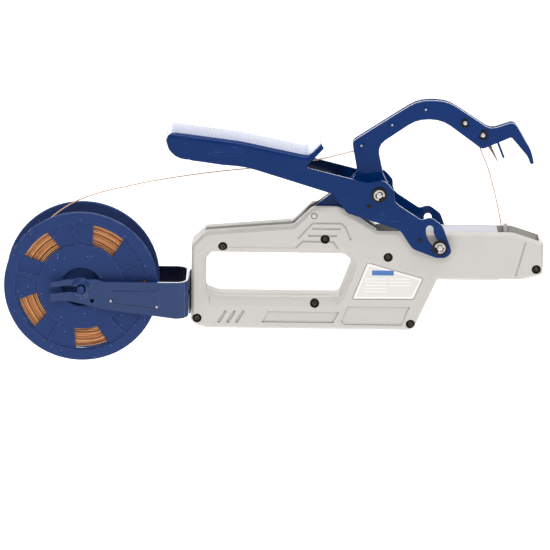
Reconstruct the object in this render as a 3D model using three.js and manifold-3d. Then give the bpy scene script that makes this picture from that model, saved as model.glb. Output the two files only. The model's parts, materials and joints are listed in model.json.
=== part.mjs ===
// A hand-held electric tying tool for vines: a wire reel on a forked bracket, a D-handled
// housing, a squeeze lever and a curved hook that carries the wire round the cane to the twister.
// Units are millimetres. X runs along the tool to its nose, Y goes from the near side to the far
// side, Z is up. The origin is on the flat underside of the housing.

import * as THREE from "three";
import { mergeVertices } from "three/addons/utils/BufferGeometryUtils.js";
import Module from "manifold-3d";

const wasm = await Module();
wasm.setup();

// Driving dimensions

const clearance = 0.3;
const overrun = 3;
const mergeDistance = 0.001;
const arcError = 0.25;
const widestStep = Math.PI / 6;
const roundSteps = 12;
const holeSteps = 8;
const screwSteps = 10;
const fineSteps = 16;
const boreSteps = 20;

// Housing
const housingLength = 250.3;
const housingHeight = 90;
const housingDepth = 24;
const edgeWall = 2.6;
const sideWall = 3;
const edgeRound = 2;
const seamFromNear = 9;
const originShare = 0.2385;
const fingerReliefWidth = 4.5;
const fingerReliefDepth = 3;
const beamReliefHeight = 6;
const beamReliefDepth = 1.6;
const handleSlotFar = 2.5;
const noseSlotWidth = 18;
const noseEndWall = 3;
const recessDepth = 0.8;
const grooveDepth = 0.5;
const grooveWidth = 1.2;
const slantBarWidth = 1.8;

// Housing screws
const screwHeadRadius = 3.1;
const screwHeadHeight = 1.7;
const screwShankRadius = 1.35;
const screwLength = 17;
const screwRecess = 0.8;
const bossRadius = 3.7;
const crossWidth = 0.8;
const crossLength = 3.4;
const crossDepth = 1.1;

// Linkage
const linkReach = 45.5;
const linkRise = 17.6;
const hookCloseAngle = 26;
const leverTurnShare = 0.473;
const pinRadius = 2;
const slotPlay = 0.75;
const washerRadius = 5.5;
const washerThickness = 0.8;
const clipRadius = 3.9;
const clipThickness = 0.6;
const clipOpening = 70;
const clipSteps = 9;
const pinEndLength = 0.8;
const pinHeadRadius = 3.8;
const pinHeadThickness = 1.5;

// Hook
const hookReach = 154.9;
const hookRise = 82.9;
const hookPlateThickness = 2.5;
const hookPlateGap = 3;
const rivetRadius = 0.95;
const spacerRadius = 2;
const bushWall = 1;
const rollerRadius = 3.4;
const rollerGroove = 0.7;
const rollerPinRadii = [1.45, 1.6];
const rollerClipRadii = [2.45, 2.75];
const needleLength = 17.8;
const needleRadius = 1.25;
const needleTipRadius = 0.2;
const needleRootLength = 4.8;
const fingerWidth = 1.6;

// Lever
const leverReach = 152.4;
const leverRise = 43.7;
const leverWidth = 35;
const leverSheet = 2;
const leverRound = 3.4;
const leverHoleRadius = 1.55;

// Return spring
const springRadius = 0.85;
const springWireRadius = 0.3;
const springTurns = 24;
const springSteps = 6;
const springPostRadius = 1.2;

// Reel and its bracket
const reelRadius = 55;
const reelWidth = 32;
const reelReach = 78.3;
const reelHeight = 31.2;
const reelSheet = 2.4;
const rimWidth = 8;
const rimStep = 1;
const windowMargin = 1;
const windowCount = 5;
const windowSteps = 3;
const windowAngle = 30;
const windowSwirl = 4;
const windowFirst = 60;
const hubRadius = 31;
const hubRecessRadius = 14;
const hubRecessDepth = 5.4;
const sleeveRadius = 25;
const axleRadius = 2.6;
const axleLength = 15;
const reelRibWidth = 3.4;
const reelRibHeight = 0.7;
const reelSegments = 28;
const windingRadius = 44.9;
const wireRadius = 0.45;
const windingTurns = 10;
const windingSteps = 18;
const windingEndAngle = 150;
const windingEndDepth = 6;
const bracketSheet = 2;
const forkReach = 21.5;
const bracketHeight = 27.8;
const bracketBase = 10;
const bracketStep = 2;
const bracketSplay = 3.2;
const bracketCorner = 8;
const padThickness = 1.2;
const forkEyeRadius = 8;
const forkDomeHeight = 2;
const axleSeatRadius = 3.7;
const bracketHoleRadius = 1.55;
const embossHeight = 0.8;
const boltRadius = 2;
const boltLength = 12;
const boltHeadRadius = 3.8;
const boltHeadHeight = 2.2;
const boltHeight = 23.4;
const boltSocket = 2.4;

// Drive
const gearModule = 0.75;
const pinionTeeth = 10;
const idlerTeeth = 20;
const gearWidth = 4;
const spindleDrop = 6.1;
const spindleRadius = 2.5;
const spindleHeadRadius = 5.4;
const spindleHeadLength = 4.5;
const twistSlotWidth = 1.6;
const twistSlotDepth = 3.4;
const spindleTail = 4;
const driveGap = 8;
const bearingRadius = 6;
const bearingWidth = 5;
const bearingGap = 4;
const ribThickness = 2.4;
const idlerPinRadius = 1.3;
const motorRadius = 8;
const motorGap = 7;
const motorEndGap = 2.2;
const motorShaftRadius = 1;
const motorBoreDepth = 8;
const batteryLength = 100;
const batteryGap = 3;
const batteryNeck = 1.2;
const boardLength = 34;
const boardThickness = 1.6;
const boardGap = 1;
const boardLift = 1.9;
const switchLength = 12.8;
const switchHeight = 6.5;
const switchReach = 28.8;
const plungerRadius = 1;
const plungerTravel = 1.2;
const plungerGap = 0.5;

// Nose
const coverSetback = 16;
const mouthLength = 32.6;
const coverSheet = 1.5;
const coverFlange = 3.8;
const gripperLength = 2.8;
const gripperThickness = 3.4;
const gripperHeight = 14;
const gripperGap = 4.6;
const gripperSetback = 4.6;
const gripperRise = 2.6;
const labelThickness = 0.4;

// Places and outlines, as shares of the sizes that they follow: along X, up Z, and a rounding

const housingShares = [
  [0, 0.061, 0.028],
  [0.013, 0.024, 0.033],
  [0.045, 0, 0.033],
  [0.634, 0, 0.067],
  [0.7, 0.422, 0.017],
  [0.932, 0.421, 0.033],
  [1, 0.478, 0.028],
  [1, 0.736, 0.03],
  [0.911, 0.816, 0.044],
  [0.526, 0.816, 0.03],
  [0.466, 0.93, 0.167],
  [0.415, 1, 0.056],
  [0.342, 1, 0.044],
  [0.289, 0.851, 0.033],
  [0.04, 0.792, 0.044],
  [0, 0.679, 0.067],
];
const gripOpeningShares = [
  [0.042, 0.574, 0.022],
  [0.042, 0.3, 0.033],
  [0.079, 0.262, 0.089],
  [0.421, 0.262, 0.044],
  [0.47, 0.627, 0.089],
  [0.056, 0.627, 0.022],
];
const labelShares = [
  [0.5, 0.564, 0.022],
  [0.458, 0.257, 0.011],
  [0.634, 0.26, 0.017],
  [0.661, 0.437, 0.011],
];
const recessShares = [
  [
    [0.428, 0.072],
    [0.447, 0.197],
    [0.624, 0.197],
    [0.602, 0.044],
    [0.438, 0.044],
  ],
  [
    [0.202, 0.058],
    [0.22, 0.149],
    [0.422, 0.147],
    [0.406, 0.058],
  ],
];
const grooveShares = [
  [
    [0.341, 0.836],
    [0.422, 0.836],
  ],
  [
    [0.331, 0.778],
    [0.412, 0.778],
  ],
  [
    [0.107, 0.67],
    [0.293, 0.67],
    [0.315, 0.73],
    [0.402, 0.73],
    [0.427, 0.629],
  ],
  [
    [0.302, 0.754],
    [0.343, 0.88],
    [0.425, 0.881],
    [0.437, 0.849],
    [0.452, 0.747],
  ],
  [
    [0.923, 0.467],
    [0.948, 0.74],
  ],
];
const slantBarShares = [
  [0.078, 0.053],
  [0.099, 0.15],
];
const slantBarStepShare = 0.0254;
const slantBarCount = 3;
const noseNotchShares = [0.876, 0.946, 0.44];
const screwShares = [
  [0.089, 0.68],
  [0.379, 0.749],
  [0.559, 0.607],
  [0.352, 0.218],
  [0.017, 0.086],
  [0.627, 0.057],
  [0.981, 0.522],
];
const hookPivotShares = [0.347, 0.94];
const guidePinShares = [0.704, 0.712];
const springPostShares = [0.27, 0.735];

const hookShares = [
  [-0.041, 0, 0.036],
  [-0.007, -0.084, 0.048],
  [0.316, 0.123, 0.072],
  [0.347, 0.222, 0.06],
  [0.315, 0.337, 0.048],
  [0.283, 0.601, 0.121],
  [0.462, 0.836, 0.29],
  [0.575, 0.836, 0.29],
  [0.762, 0.58, 0.042],
  [0.894, 0.689, 0.018],
  [0.97, 0.524, 0.097],
  [0.985, 0.454, 0.01],
  [1.001, 0.46, 0.01],
  [0.988, 0.563, 0.145],
  [0.906, 0.825, 0.054],
  [0.799, 0.753, 0.097],
  [0.597, 1, 0.314],
  [0.465, 1, 0.314],
  [0.168, 0.634, 0.054],
  [0.196, 0.352, 0.072],
];
const rivetShares = [
  [0.211, 0.601],
  [0.349, 0.786],
  [0.5, 0.924],
];
const springAnchorShare = [0.136, 0.215];
const rollerShares = [
  [0.681, 0.811],
  [0.764, 0.707],
];
const needleShares = [
  [0.799, 0.593],
  [0.839, 0.456],
];
const fingerShares = [
  [0.829, 0.66],
  [0.862, 0.507],
];

const gripTopShares = [
  [-1, 1, 0.14],
  [-0.647, 0.847, 1.373],
  [-0.33, 0.618, 0.137],
];
const thumbTipShare = [-0.272, 0.826, 0.018];
const gripEndShares = [[-0.971, 0.519, 0.295]];
const thumbBackShares = [
  [-0.259, 0.76, 0.023],
  [-0.343, 0.439, 0.034],
];
const gripUnderShares = [
  [-0.211, -0.005, 0.114],
  [-0.621, 0.437, 1.373],
];
const guidePlateShares = [
  [-0.189, -0.215, 0.091],
  [0.078, -0.283, 0.16],
  [0.242, -0.073, 0.114],
  [0.251, 0.15, 0.16],
  [0.689, 0.483, 0.068],
  [0.842, 0.42, 0.114],
  [1.032, 0.583, 0.137],
  [1.201, 1.102, 0.16],
  [1.096, 1.207, 0.114],
  [0.941, 1.207, 0.091],
  [0.557, 1.039, 0.16],
  [0.352, 0.682, 0.183],
  [-0.511, 0.365, 0.137],
];
const leverHoleShares = [
  [-0.164, 0.226],
  [0.676, 0.861],
];

const bracketShares = [
  [0, 0.93, 0.06],
  [0.003, 0.82],
  [0.21, 0.84],
  [0.21, 0.68],
  [0.003, 0.63],
  [0, 0.43, 0.06],
  [0.127, 0.43, 0.06],
  [0.352, 0.25, 0.12],
  [0.905, 0, 0.12],
  [1, 0],
  [1, 0.964],
  [0.394, 0.957, 0.12],
  [0.33, 1, 0.12],
  [0.127, 1, 0.06],
];
const bracketBendShares = [0.127, 0.33, 0.392];
const bracketHoleShares = [0.301, 0.435];
const embossShares = [
  [0.448, 0.74, 0.03],
  [0.448, 0.4, 0.03],
  [0.79, 0.25, 0.03],
  [0.79, 0.76, 0.03],
];

// Wire route: the points are chosen by hand, in millimetres, from the reel to the nose
const feedRoute = [
  [-176.8, 6, 53.8],
  [-172.4, 5.9, 61.2],
  [-167.2, 5.8, 68.6],
  [-160.6, 5.6, 75.8],
  [-152.2, 5.4, 82.6],
  [-141.9, 5.1, 88.9],
  [-123.8, 4.6, 95.8],
  [-105.6, 4.1, 100.5],
  [-89.7, 3.6, 104.3],
  [-76, 3.2, 106.9],
  [-60, 2.8, 109.7],
  [-40, 2.3, 112.7],
  [-19.1, 1.7, 115.3],
  [5, 1, 118.8],
  [31.4, 0.3, 123.2],
  [44.8, 0, 126.8],
  [50.6, 0, 128.3],
];
const armRoute = [
  [50.9, 0, 128.4],
  [55.2, 0, 129.6],
  [59.9, 0, 131.2],
  [65, 0, 134],
  [71, 0, 138.3],
  [76.4, 0, 142.4],
  [82, 0, 146.4],
  [89, 0, 151.2],
  [96.5, 0, 155.2],
  [104.7, 0, 157.8],
  [113, 0, 158.8],
  [121, 0, 158.2],
  [128, 0, 156.9],
  [133, 0, 156.1],
  [136.6, 0, 153.6],
  [139.4, 0, 148.6],
  [140.9, 0, 143.4],
  [142.2, 0, 138],
  [143.8, 0, 133],
];
const tailRoute = [
  [143.9, 0, 132.7],
  [146, 0.3, 127.6],
  [148.3, 0.8, 122.2],
  [150.6, 1.3, 116.2],
  [153.1, 2, 107.8],
  [155.5, 2.7, 99.2],
  [157.8, 3.4, 89.8],
  [159.8, 4, 80.8],
  [161.1, 4.3, 74],
  [161.6, 4.4, 70],
];
const feedSteps = 22;
const armSteps = 24;
const tailSteps = 10;

// Materials

const finish = (color, roughness, metalness) =>
  new THREE.MeshStandardMaterial({ color, roughness, metalness });
const greyPlastic = finish(0xcbc8c2, 0.6, 0);
const bluePaint = finish(0x163a76, 0.3, 0.1);
const reelPlastic = finish(0x34487c, 0.5, 0);
const blackOxide = finish(0x1c1a19, 0.4, 0.8);
const brightSteel = finish(0xc9c6c0, 0.3, 1);
const bronzeSteel = finish(0x6a5640, 0.35, 1);
const paperWire = finish(0xc08a54, 0.8, 0);
const blackRubber = finish(0x151515, 0.8, 0);
const whiteNylon = finish(0xe6e3da, 0.5, 0);
const stickerPaper = finish(0xe4e0da, 0.6, 0);
const greenBoard = finish(0x1f5a3a, 0.5, 0);
const cellWrap = finish(0x2f5f9a, 0.4, 0);

// Solids

function solidOf(geometry) {
  const bare = geometry.index ? geometry.toNonIndexed() : geometry.clone();
  bare.deleteAttribute("normal");
  bare.deleteAttribute("uv");
  const merged = mergeVertices(bare, mergeDistance);
  const index = merged.index.array;
  const triangles = [];
  for (let i = 0; i < index.length; i += 3) {
    const [a, b, c] = [index[i], index[i + 1], index[i + 2]];
    if (a !== b && b !== c && c !== a) triangles.push(a, b, c);
  }
  const build = (order) =>
    new wasm.Manifold(
      new wasm.Mesh({
        numProp: 3,
        vertProperties: merged.attributes.position.array,
        triVerts: new Uint32Array(order),
      }),
    );
  const solid = build(triangles);
  return solid.volume() > 0 ? solid : build(triangles.reverse());
}

function geometryOf(solid) {
  const { vertProperties, triVerts } = solid.getMesh();
  const geometry = new THREE.BufferGeometry();
  geometry.setAttribute("position", new THREE.BufferAttribute(vertProperties, 3));
  geometry.setIndex(new THREE.BufferAttribute(triVerts, 1));
  return geometry;
}

const joined = (solids) => solids.reduce((whole, solid) => whole.add(solid));

// The points of a rounded corner, on an arc between its two edges
function cornerArc(before, corner, after, round) {
  const back = before.clone().sub(corner);
  const ahead = after.clone().sub(corner);
  const half = Math.acos(back.dot(ahead) / back.length() / ahead.length()) / 2;
  const most = Math.min(back.length(), ahead.length()) * 0.49;
  const reach = Math.min(round / Math.tan(half), most);
  const radius = reach * Math.tan(half);
  const turn = Math.PI - 2 * half;
  const step = Math.min(2 * Math.acos(Math.max(1 - arcError / radius, 0)), widestStep);
  const steps = Math.max(Math.ceil(turn / step), 1);
  const start = corner.clone().addScaledVector(back.normalize(), reach);
  const middle = back.add(ahead.normalize()).normalize();
  const centre = corner.clone().addScaledVector(middle, radius / Math.sin(half));
  const side = Math.sign(start.clone().sub(centre).cross(corner.clone().sub(centre)));
  const points = [];
  for (let i = 0; i <= steps; i++)
    points.push(start.clone().rotateAround(centre, (side * turn * i) / steps));
  return points;
}

// A closed outline in X and Z with rounded corners
function outlineOf(points, rounded = true) {
  const corners = points.map(([x, z]) => new THREE.Vector2(x, z));
  const outline = corners.flatMap((corner, i) => {
    const round = points[i][2] ?? 0;
    const after = corners[(i + 1) % corners.length];
    return rounded && round > 0 ? cornerArc(corners.at(i - 1), corner, after, round) : [corner];
  });
  return new THREE.Shape(outline);
}

// The outline of a groove of the given width along an open line
function strokeOf(points, width, round = 0) {
  const side = (sign) =>
    points.map(([x, z], i) => {
      const [fromX, fromZ] = points[Math.max(i - 1, 0)];
      const [toX, toZ] = points[Math.min(i + 1, points.length - 1)];
      const before = new THREE.Vector2(x - fromX, z - fromZ).normalize();
      const after = new THREE.Vector2(toX - x, toZ - z).normalize();
      const along = before.clone().add(after).normalize();
      const mitre = width / 2 / Math.max(along.dot(i ? before : after), 0.5);
      return [x - along.y * mitre * sign, z + along.x * mitre * sign, round];
    });
  return outlineOf([...side(1), ...side(-1).reverse()]);
}

// An outline in X and Z given depth from the near Y to the far Y
function across(shape, near, far, { round = 0, depth = round, inset = 0, steps = 2 } = {}) {
  const geometry = new THREE.ExtrudeGeometry(shape, {
    depth: far - near - 2 * depth,
    bevelEnabled: round !== 0 || inset !== 0,
    bevelThickness: depth,
    bevelSize: round,
    bevelOffset: -round - inset,
    bevelSegments: round === 0 ? 0 : steps,
  });
  geometry.rotateX(Math.PI / 2);
  geometry.translate(0, far - depth, 0);
  return solidOf(geometry);
}

// A box between two corners
function block([x0, y0, z0], [x1, y1, z1]) {
  const geometry = new THREE.BoxGeometry(x1 - x0, y1 - y0, z1 - z0);
  geometry.translate((x0 + x1) / 2, (y0 + y1) / 2, (z0 + z1) / 2);
  return solidOf(geometry);
}

// Round bars along Y, X and Z, through a point of the other two axes in that order
function barY([x, z], radius, near, far, segments = roundSteps) {
  const geometry = new THREE.CylinderGeometry(radius, radius, far - near, segments);
  geometry.translate(x, (near + far) / 2, z);
  return solidOf(geometry);
}

function barX([y, z], radius, start, end, segments = roundSteps) {
  const geometry = new THREE.CylinderGeometry(radius, radius, end - start, segments);
  geometry.rotateZ(Math.PI / 2);
  geometry.translate((start + end) / 2, y, z);
  return solidOf(geometry);
}

function barZ([x, y], radius, low, high, segments = roundSteps) {
  const geometry = new THREE.CylinderGeometry(radius, radius, high - low, segments);
  geometry.rotateX(Math.PI / 2);
  geometry.translate(x, y, (low + high) / 2);
  return solidOf(geometry);
}

// A turned piece from pairs of a radius and a place on its axis, which is Y, X or Z
function turned(profile, { segments = roundSteps, axis = "y", place = [0, 0, 0] } = {}) {
  const points = profile.map(([radius, height]) => new THREE.Vector2(radius, height));
  const geometry = new THREE.LatheGeometry(points, segments);
  if (axis === "x") geometry.rotateZ(-Math.PI / 2);
  if (axis === "z") geometry.rotateX(Math.PI / 2);
  geometry.translate(...place);
  return solidOf(geometry);
}

// A round tube along a curve
function tubeAlong(curve, radius, sides, steps) {
  const section = new THREE.Shape();
  for (let i = 0; i < sides; i++) {
    const angle = (i / sides) * 2 * Math.PI;
    const point = [radius * Math.cos(angle), radius * Math.sin(angle)];
    if (i === 0) section.moveTo(...point);
    else section.lineTo(...point);
  }
  section.closePath();
  return solidOf(new THREE.ExtrudeGeometry(section, { steps, extrudePath: curve }));
}

const curveThrough = (points) =>
  new THREE.CatmullRomCurve3(
    points.map((point) => new THREE.Vector3(...point)),
    false,
    "centripetal",
  );

// The least gap between turns of a wound tube, measured on points more than half a turn apart
function leastGap(points, radius, stepsPerTurn) {
  let least = Infinity;
  points.forEach((point, i) => {
    for (let j = i + Math.ceil(stepsPerTurn * 0.6); j < points.length; j++)
      least = Math.min(least, point.distanceTo(points[j]) - 2 * radius);
  });
  return least;
}

const tool = new THREE.Group();

function add(name, solid, material, place = [0, 0, 0], turn = 0) {
  const mesh = new THREE.Mesh(geometryOf(solid), material);
  mesh.name = name;
  mesh.position.set(...place);
  mesh.rotation.y = turn;
  tool.add(mesh);
  return mesh;
}

// Shared places

const housingLeft = -originShare * housingLength;
const housingRight = housingLeft + housingLength;
const nearFace = -housingDepth / 2;
const farFace = housingDepth / 2;
const seam = nearFace + seamFromNear;
const onHousing = ([x, z, round = 0]) => [
  housingLeft + x * housingLength,
  z * housingHeight,
  round * housingHeight,
];
const cavityHalf = housingDepth / 2 - sideWall;
const hookHalf = hookPlateGap / 2 + hookPlateThickness;
const hookSlotHalf = hookHalf + clearance * 1.5;

const hookPivot = onHousing(hookPivotShares).slice(0, 2);
const guidePin = onHousing(guidePinShares).slice(0, 2);
const leverPin = [hookPivot[0] + linkReach, hookPivot[1] + linkRise];
const onHook = ([x, z, round = 0]) => [
  hookPivot[0] + x * hookReach,
  hookPivot[1] + z * hookRise,
  round * hookRise,
];
const rollerPlaces = rollerShares.map((share) => onHook(share).slice(0, 2));
const rivetPlaces = rivetShares.map((share) => onHook(share).slice(0, 2));
const springAnchor = onHook(springAnchorShare).slice(0, 2);
const springPost = onHousing(springPostShares).slice(0, 2);

// Turning a point clockwise about another, as the camera sees it from the near side
function clockwise([x, z], [centreX, centreZ], angle) {
  const [cos, sin] = [Math.cos(angle), Math.sin(angle)];
  const [dx, dz] = [x - centreX, z - centreZ];
  return [centreX + dx * cos + dz * sin, centreZ - dx * sin + dz * cos];
}

const radians = THREE.MathUtils.degToRad;
const closeAngle = radians(hookCloseAngle);

const reelCentre = [housingLeft - reelReach, reelHeight];
const bracketEnd = housingLeft - padThickness - 2 * clearance;
const bracketStart = reelCentre[0] - forkReach;
const bracketLength = bracketEnd - bracketStart;
const onBracket = ([x, z, round = 0]) => [
  bracketStart + x * bracketLength,
  bracketBase + z * bracketHeight,
  round * bracketHeight,
];
const boltPlace = [0, boltHeight];

const screwPlaces = screwShares.map((share) => onHousing(share).slice(0, 2));
const [, , driveScrew, batteryScrew, rearScrew, boardScrew] = screwPlaces;
const labelPoints = labelShares.map(onHousing);

const gripPoints = gripOpeningShares.map(onHousing);
const gripLeft = gripPoints[0][0];
const gripRight = gripPoints[4][0];
const beamHeight = gripPoints[2][1];

// The drive line, from the motor beside the finger opening to the mouth of the nose
const gearReach = (gearModule * (pinionTeeth + idlerTeeth)) / 2;
const spindleHeight = guidePin[1] - pinRadius - spindleDrop;
const idlerHeight = spindleHeight - gearReach;
const motorHeight = idlerHeight - gearReach;
const coverStart = housingLeft + housingShares[9][0] * housingLength + coverSetback;
const coverEnd = housingRight - mouthLength;
const spindleStart = driveScrew[0] + bossRadius + driveGap;
const spindleEnd = coverEnd;
const gearStart = spindleStart + spindleTail;
const pinionWidth = gearWidth + gearModule;
const motorStart = gripRight + edgeWall + motorEndGap;
const motorEnd = gearStart - motorGap;
const motorLength = motorEnd - motorStart;
const bearingStarts = [
  gearStart + pinionWidth + bearingGap,
  spindleEnd - spindleHeadLength - bearingWidth - bearingGap,
];
const batteryStart = rearScrew[0] + bossRadius + batteryGap;
const batteryRadius = (batteryScrew[1] - bossRadius - edgeWall) / 2 - clearance;
const batteryHeight = edgeWall + clearance + batteryRadius;
const boardEnd = boardScrew[0] - bossRadius - boardGap;
const boardBase = edgeWall + boardLift;
const boardTop = motorHeight - motorRadius - ribThickness - boardLift;
const switchCentre = hookPivot[0] + switchReach;

// The lowest edge of the closed hook over the switch
const hookUnder = hookShares.slice(1, 3).map((share) => clockwise(onHook(share), hookPivot, closeAngle));
const underShare = (switchCentre - hookUnder[0][0]) / (hookUnder[1][0] - hookUnder[0][0]);
const closedUnder = hookUnder[0][1] + underShare * (hookUnder[1][1] - hookUnder[0][1]);
const plungerTop = closedUnder - plungerGap;

// Housing: one hollow body, cut at the seam into two shells

const housingPoints = housingShares.map(onHousing);
const [lowest, highest] = [-overrun, housingHeight + overrun];

function housingBody() {
  const body = across(outlineOf(housingPoints), nearFace, farFace, {
    round: edgeRound,
    steps: 1,
  });
  const grip = across(outlineOf(gripPoints), nearFace - clearance, farFace + clearance, {
    round: -fingerReliefWidth,
    depth: fingerReliefDepth,
    steps: 1,
  });
  return body.subtract(grip).subtract(beamRelief(-1)).subtract(beamRelief(1));
}

// The finger side of the lower beam slopes outwards from the opening to the side face
function beamRelief(side) {
  const inner = side * (farFace - beamReliefDepth);
  const outer = side * (farFace + overrun);
  const slope = new THREE.Shape();
  slope.moveTo(side * farFace, beamHeight - beamReliefHeight);
  slope.lineTo(outer, beamHeight - beamReliefHeight);
  slope.lineTo(outer, beamHeight + overrun);
  slope.lineTo(inner, beamHeight + overrun);
  slope.lineTo(inner, beamHeight);
  slope.closePath();
  const geometry = new THREE.ExtrudeGeometry(slope, {
    depth: (gripRight - gripLeft) * 0.86,
    bevelEnabled: false,
  });
  geometry.rotateX(Math.PI / 2);
  geometry.rotateZ(Math.PI / 2);
  geometry.translate(gripLeft + (gripRight - gripLeft) * 0.02, 0, 0);
  return solidOf(geometry);
}

// What stays solid inside: screw bosses, pin bosses, motor cradles and bearing ribs
function innerSolids() {
  const rib = (start, thickness, low, high) =>
    block([start, -cavityHalf, low], [start + thickness, cavityHalf, high]);
  const bosses = screwPlaces.map((place) => barY(place, bossRadius, nearFace, farFace, holeSteps));
  const pinBosses = [
    barY(hookPivot, pinRadius + edgeWall, nearFace, farFace),
    barY(guidePin, pinRadius + edgeWall, nearFace, farFace).subtract(
      block(
        [guidePin[0] - overrun * 2, 2 - cavityHalf, guidePin[1] - overrun * 2],
        [guidePin[0] + overrun * 2, cavityHalf - 2, guidePin[1] + overrun * 2],
      ),
    ),
    barY(springPost, springPostRadius + edgeWall, nearFace, farFace, holeSteps),
  ];
  const cradles = [0.1, 0.82].map((share) =>
    rib(
      motorStart + share * motorLength,
      ribThickness,
      motorHeight - motorRadius - ribThickness,
      motorHeight + motorRadius + ribThickness,
    ),
  );
  const bearingRibs = bearingStarts.map((start) =>
    rib(
      start + (bearingWidth - ribThickness) / 2,
      ribThickness,
      spindleHeight - bearingRadius - ribThickness,
      spindleHeight + bearingRadius + ribThickness,
    ),
  );
  const idlerRibs = [gearStart - 2 * ribThickness, gearStart + gearWidth + ribThickness].map((start) =>
    rib(start, ribThickness, idlerHeight - 2 * ribThickness, idlerHeight + 2 * ribThickness),
  );
  const boltBoss = barX(boltPlace, boltHeadRadius + edgeWall, housingLeft, housingLeft + boltLength, holeSteps);
  return joined([...bosses, ...pinBosses, ...cradles, ...bearingRibs, ...idlerRibs, boltBoss]);
}

function housingHollow() {
  const room = across(outlineOf(housingPoints, false), -cavityHalf, cavityHalf, { inset: edgeWall });
  const tunnel = across(outlineOf(gripPoints, false), nearFace, farFace, { inset: -edgeWall });
  return room.subtract(tunnel).subtract(innerSolids());
}

// The openings along the top between the shells: handle slot, hook slot, nose and mouth
function topOpenings() {
  const [handleLeft, slopeFoot] = [housingPoints[14][0], housingPoints[13][0]];
  const noseLeft = housingPoints[9][0] - clearance;
  const low = housingPoints[14][1] - edgeWall - overrun;
  const noseLow = housingPoints[9][1] - edgeWall - overrun;
  const mouthLow = housingPoints[7][1] - edgeWall - overrun;
  return joined([
    block([handleLeft, seam - clearance, low], [slopeFoot + overrun, handleSlotFar, highest]),
    block([slopeFoot, -hookSlotHalf, low], [noseLeft + overrun, hookSlotHalf, highest]),
    block(
      [noseLeft, -noseSlotWidth / 2, noseLow],
      [housingRight - noseEndWall, noseSlotWidth / 2, highest],
    ),
    block(
      [coverEnd, -noseSlotWidth / 2, mouthLow],
      [housingRight - noseEndWall, noseSlotWidth / 2, highest],
    ),
  ]);
}

function sideCuts() {
  const both = (shape, depth) =>
    across(shape, nearFace - overrun, nearFace + depth).add(
      across(shape, farFace - depth, farFace + overrun),
    );
  const recesses = recessShares.map((points) => both(outlineOf(points.map(onHousing)), recessDepth));
  const grooves = grooveShares.map((points) =>
    both(strokeOf(points.map(onHousing), grooveWidth), grooveDepth),
  );
  const bars = [];
  for (let i = 0; i < slantBarCount; i++) {
    const line = slantBarShares.map(([x, z]) => onHousing([x + i * slantBarStepShare, z]));
    bars.push(both(strokeOf(line, slantBarWidth), recessDepth));
  }
  const label = across(outlineOf(labelPoints), nearFace - overrun, nearFace + recessDepth);
  return joined([...recesses, ...grooves, ...bars, label]);
}

// The slot under the nose that lets cut wire fall out
function noseNotch() {
  const [startShare, endShare, topShare] = noseNotchShares;
  const [start, top] = onHousing([startShare, topShare]);
  const [end] = onHousing([endShare, topShare]);
  return joined([
    block([start, -hookSlotHalf, lowest], [end, hookSlotHalf, top + overrun]),
    block([start, nearFace - overrun, lowest], [end, 0, top]),
  ]);
}

function pinHoles() {
  const screwHoles = screwPlaces.map((place) =>
    joined([
      barY(place, screwHeadRadius + clearance, nearFace - overrun, headSeat),
      barY(place, screwShankRadius + clearance, nearFace, screwTip + clearance, holeSteps),
    ]),
  );
  return joined([
    ...screwHoles,
    barY(hookPivot, pinRadius + clearance, nearFace - overrun, farFace + overrun),
    barY(guidePin, pinRadius + clearance, nearFace - overrun, farFace + overrun),
    barY(springPost, springPostRadius + clearance, -cavityHalf - clearance, cavityHalf + clearance, holeSteps),
    barX(boltPlace, boltRadius + clearance, housingLeft - overrun, housingLeft + boltLength, holeSteps),
    barX(
      [0, idlerHeight],
      idlerPinRadius + clearance,
      gearStart - 2 * ribThickness - overrun,
      gearStart + gearWidth + 2 * ribThickness + overrun,
      12,
    ),
  ]);
}

const headSeat = nearFace + screwRecess + screwHeadHeight + clearance;
const screwTip = nearFace + screwRecess + screwLength;

// Round room for the motor, the bearings and the idler, also where they reach into the walls
function driveRooms() {
  const idlerRadius = gearTip(idlerTeeth) + clearance;
  return joined([
    barX([0, motorHeight], motorRadius + clearance, motorStart - clearance, motorEnd, boreSteps),
    barX([0, idlerHeight], idlerRadius, gearStart - clearance, gearStart + gearWidth + clearance, boreSteps),
    ...bearingStarts.map((start) =>
      barX([0, spindleHeight], bearingRadius + clearance, start, start + bearingWidth, boreSteps),
    ),
  ]);
}

const gearTip = (teeth) => (gearModule * teeth) / 2 + gearModule * 0.8;

function halfSpace(near, far) {
  return block([housingLeft - overrun, near, lowest], [housingRight + overrun, far, highest]);
}

const housing = housingBody()
  .subtract(housingHollow())
  .subtract(topOpenings())
  .subtract(sideCuts())
  .subtract(noseNotch())
  .subtract(pinHoles())
  .subtract(driveRooms());
const nearShell = housing.intersect(halfSpace(nearFace - overrun, seam - clearance / 2));
const farShell = housing.intersect(halfSpace(seam + clearance / 2, farFace + overrun));
add("housing_near", nearShell, greyPlastic);
add("housing_far", farShell, greyPlastic);

function housingScrew() {
  const head = turned([
    [0, -screwHeadHeight],
    [screwHeadRadius * 0.75, -screwHeadHeight],
    [screwHeadRadius, -screwHeadHeight * 0.5],
    [screwHeadRadius, 0],
    [screwShankRadius, 0],
    [screwShankRadius, screwLength - screwHeadHeight],
    [0, screwLength - screwHeadHeight],
  ], { segments: screwSteps });
  const arm = (along, wide) =>
    block(
      [-along / 2, -screwHeadHeight - overrun, -wide / 2],
      [along / 2, crossDepth - screwHeadHeight, wide / 2],
    );
  return head.subtract(arm(crossLength, crossWidth)).subtract(arm(crossWidth, crossLength));
}

const screw = housingScrew();
screwPlaces.forEach(([x, z], i) => {
  const place = [x, nearFace + screwRecess + screwHeadHeight, z];
  add("housing_screw_" + (i + 1), screw, blackOxide, place, i * radians(25));
});

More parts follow.
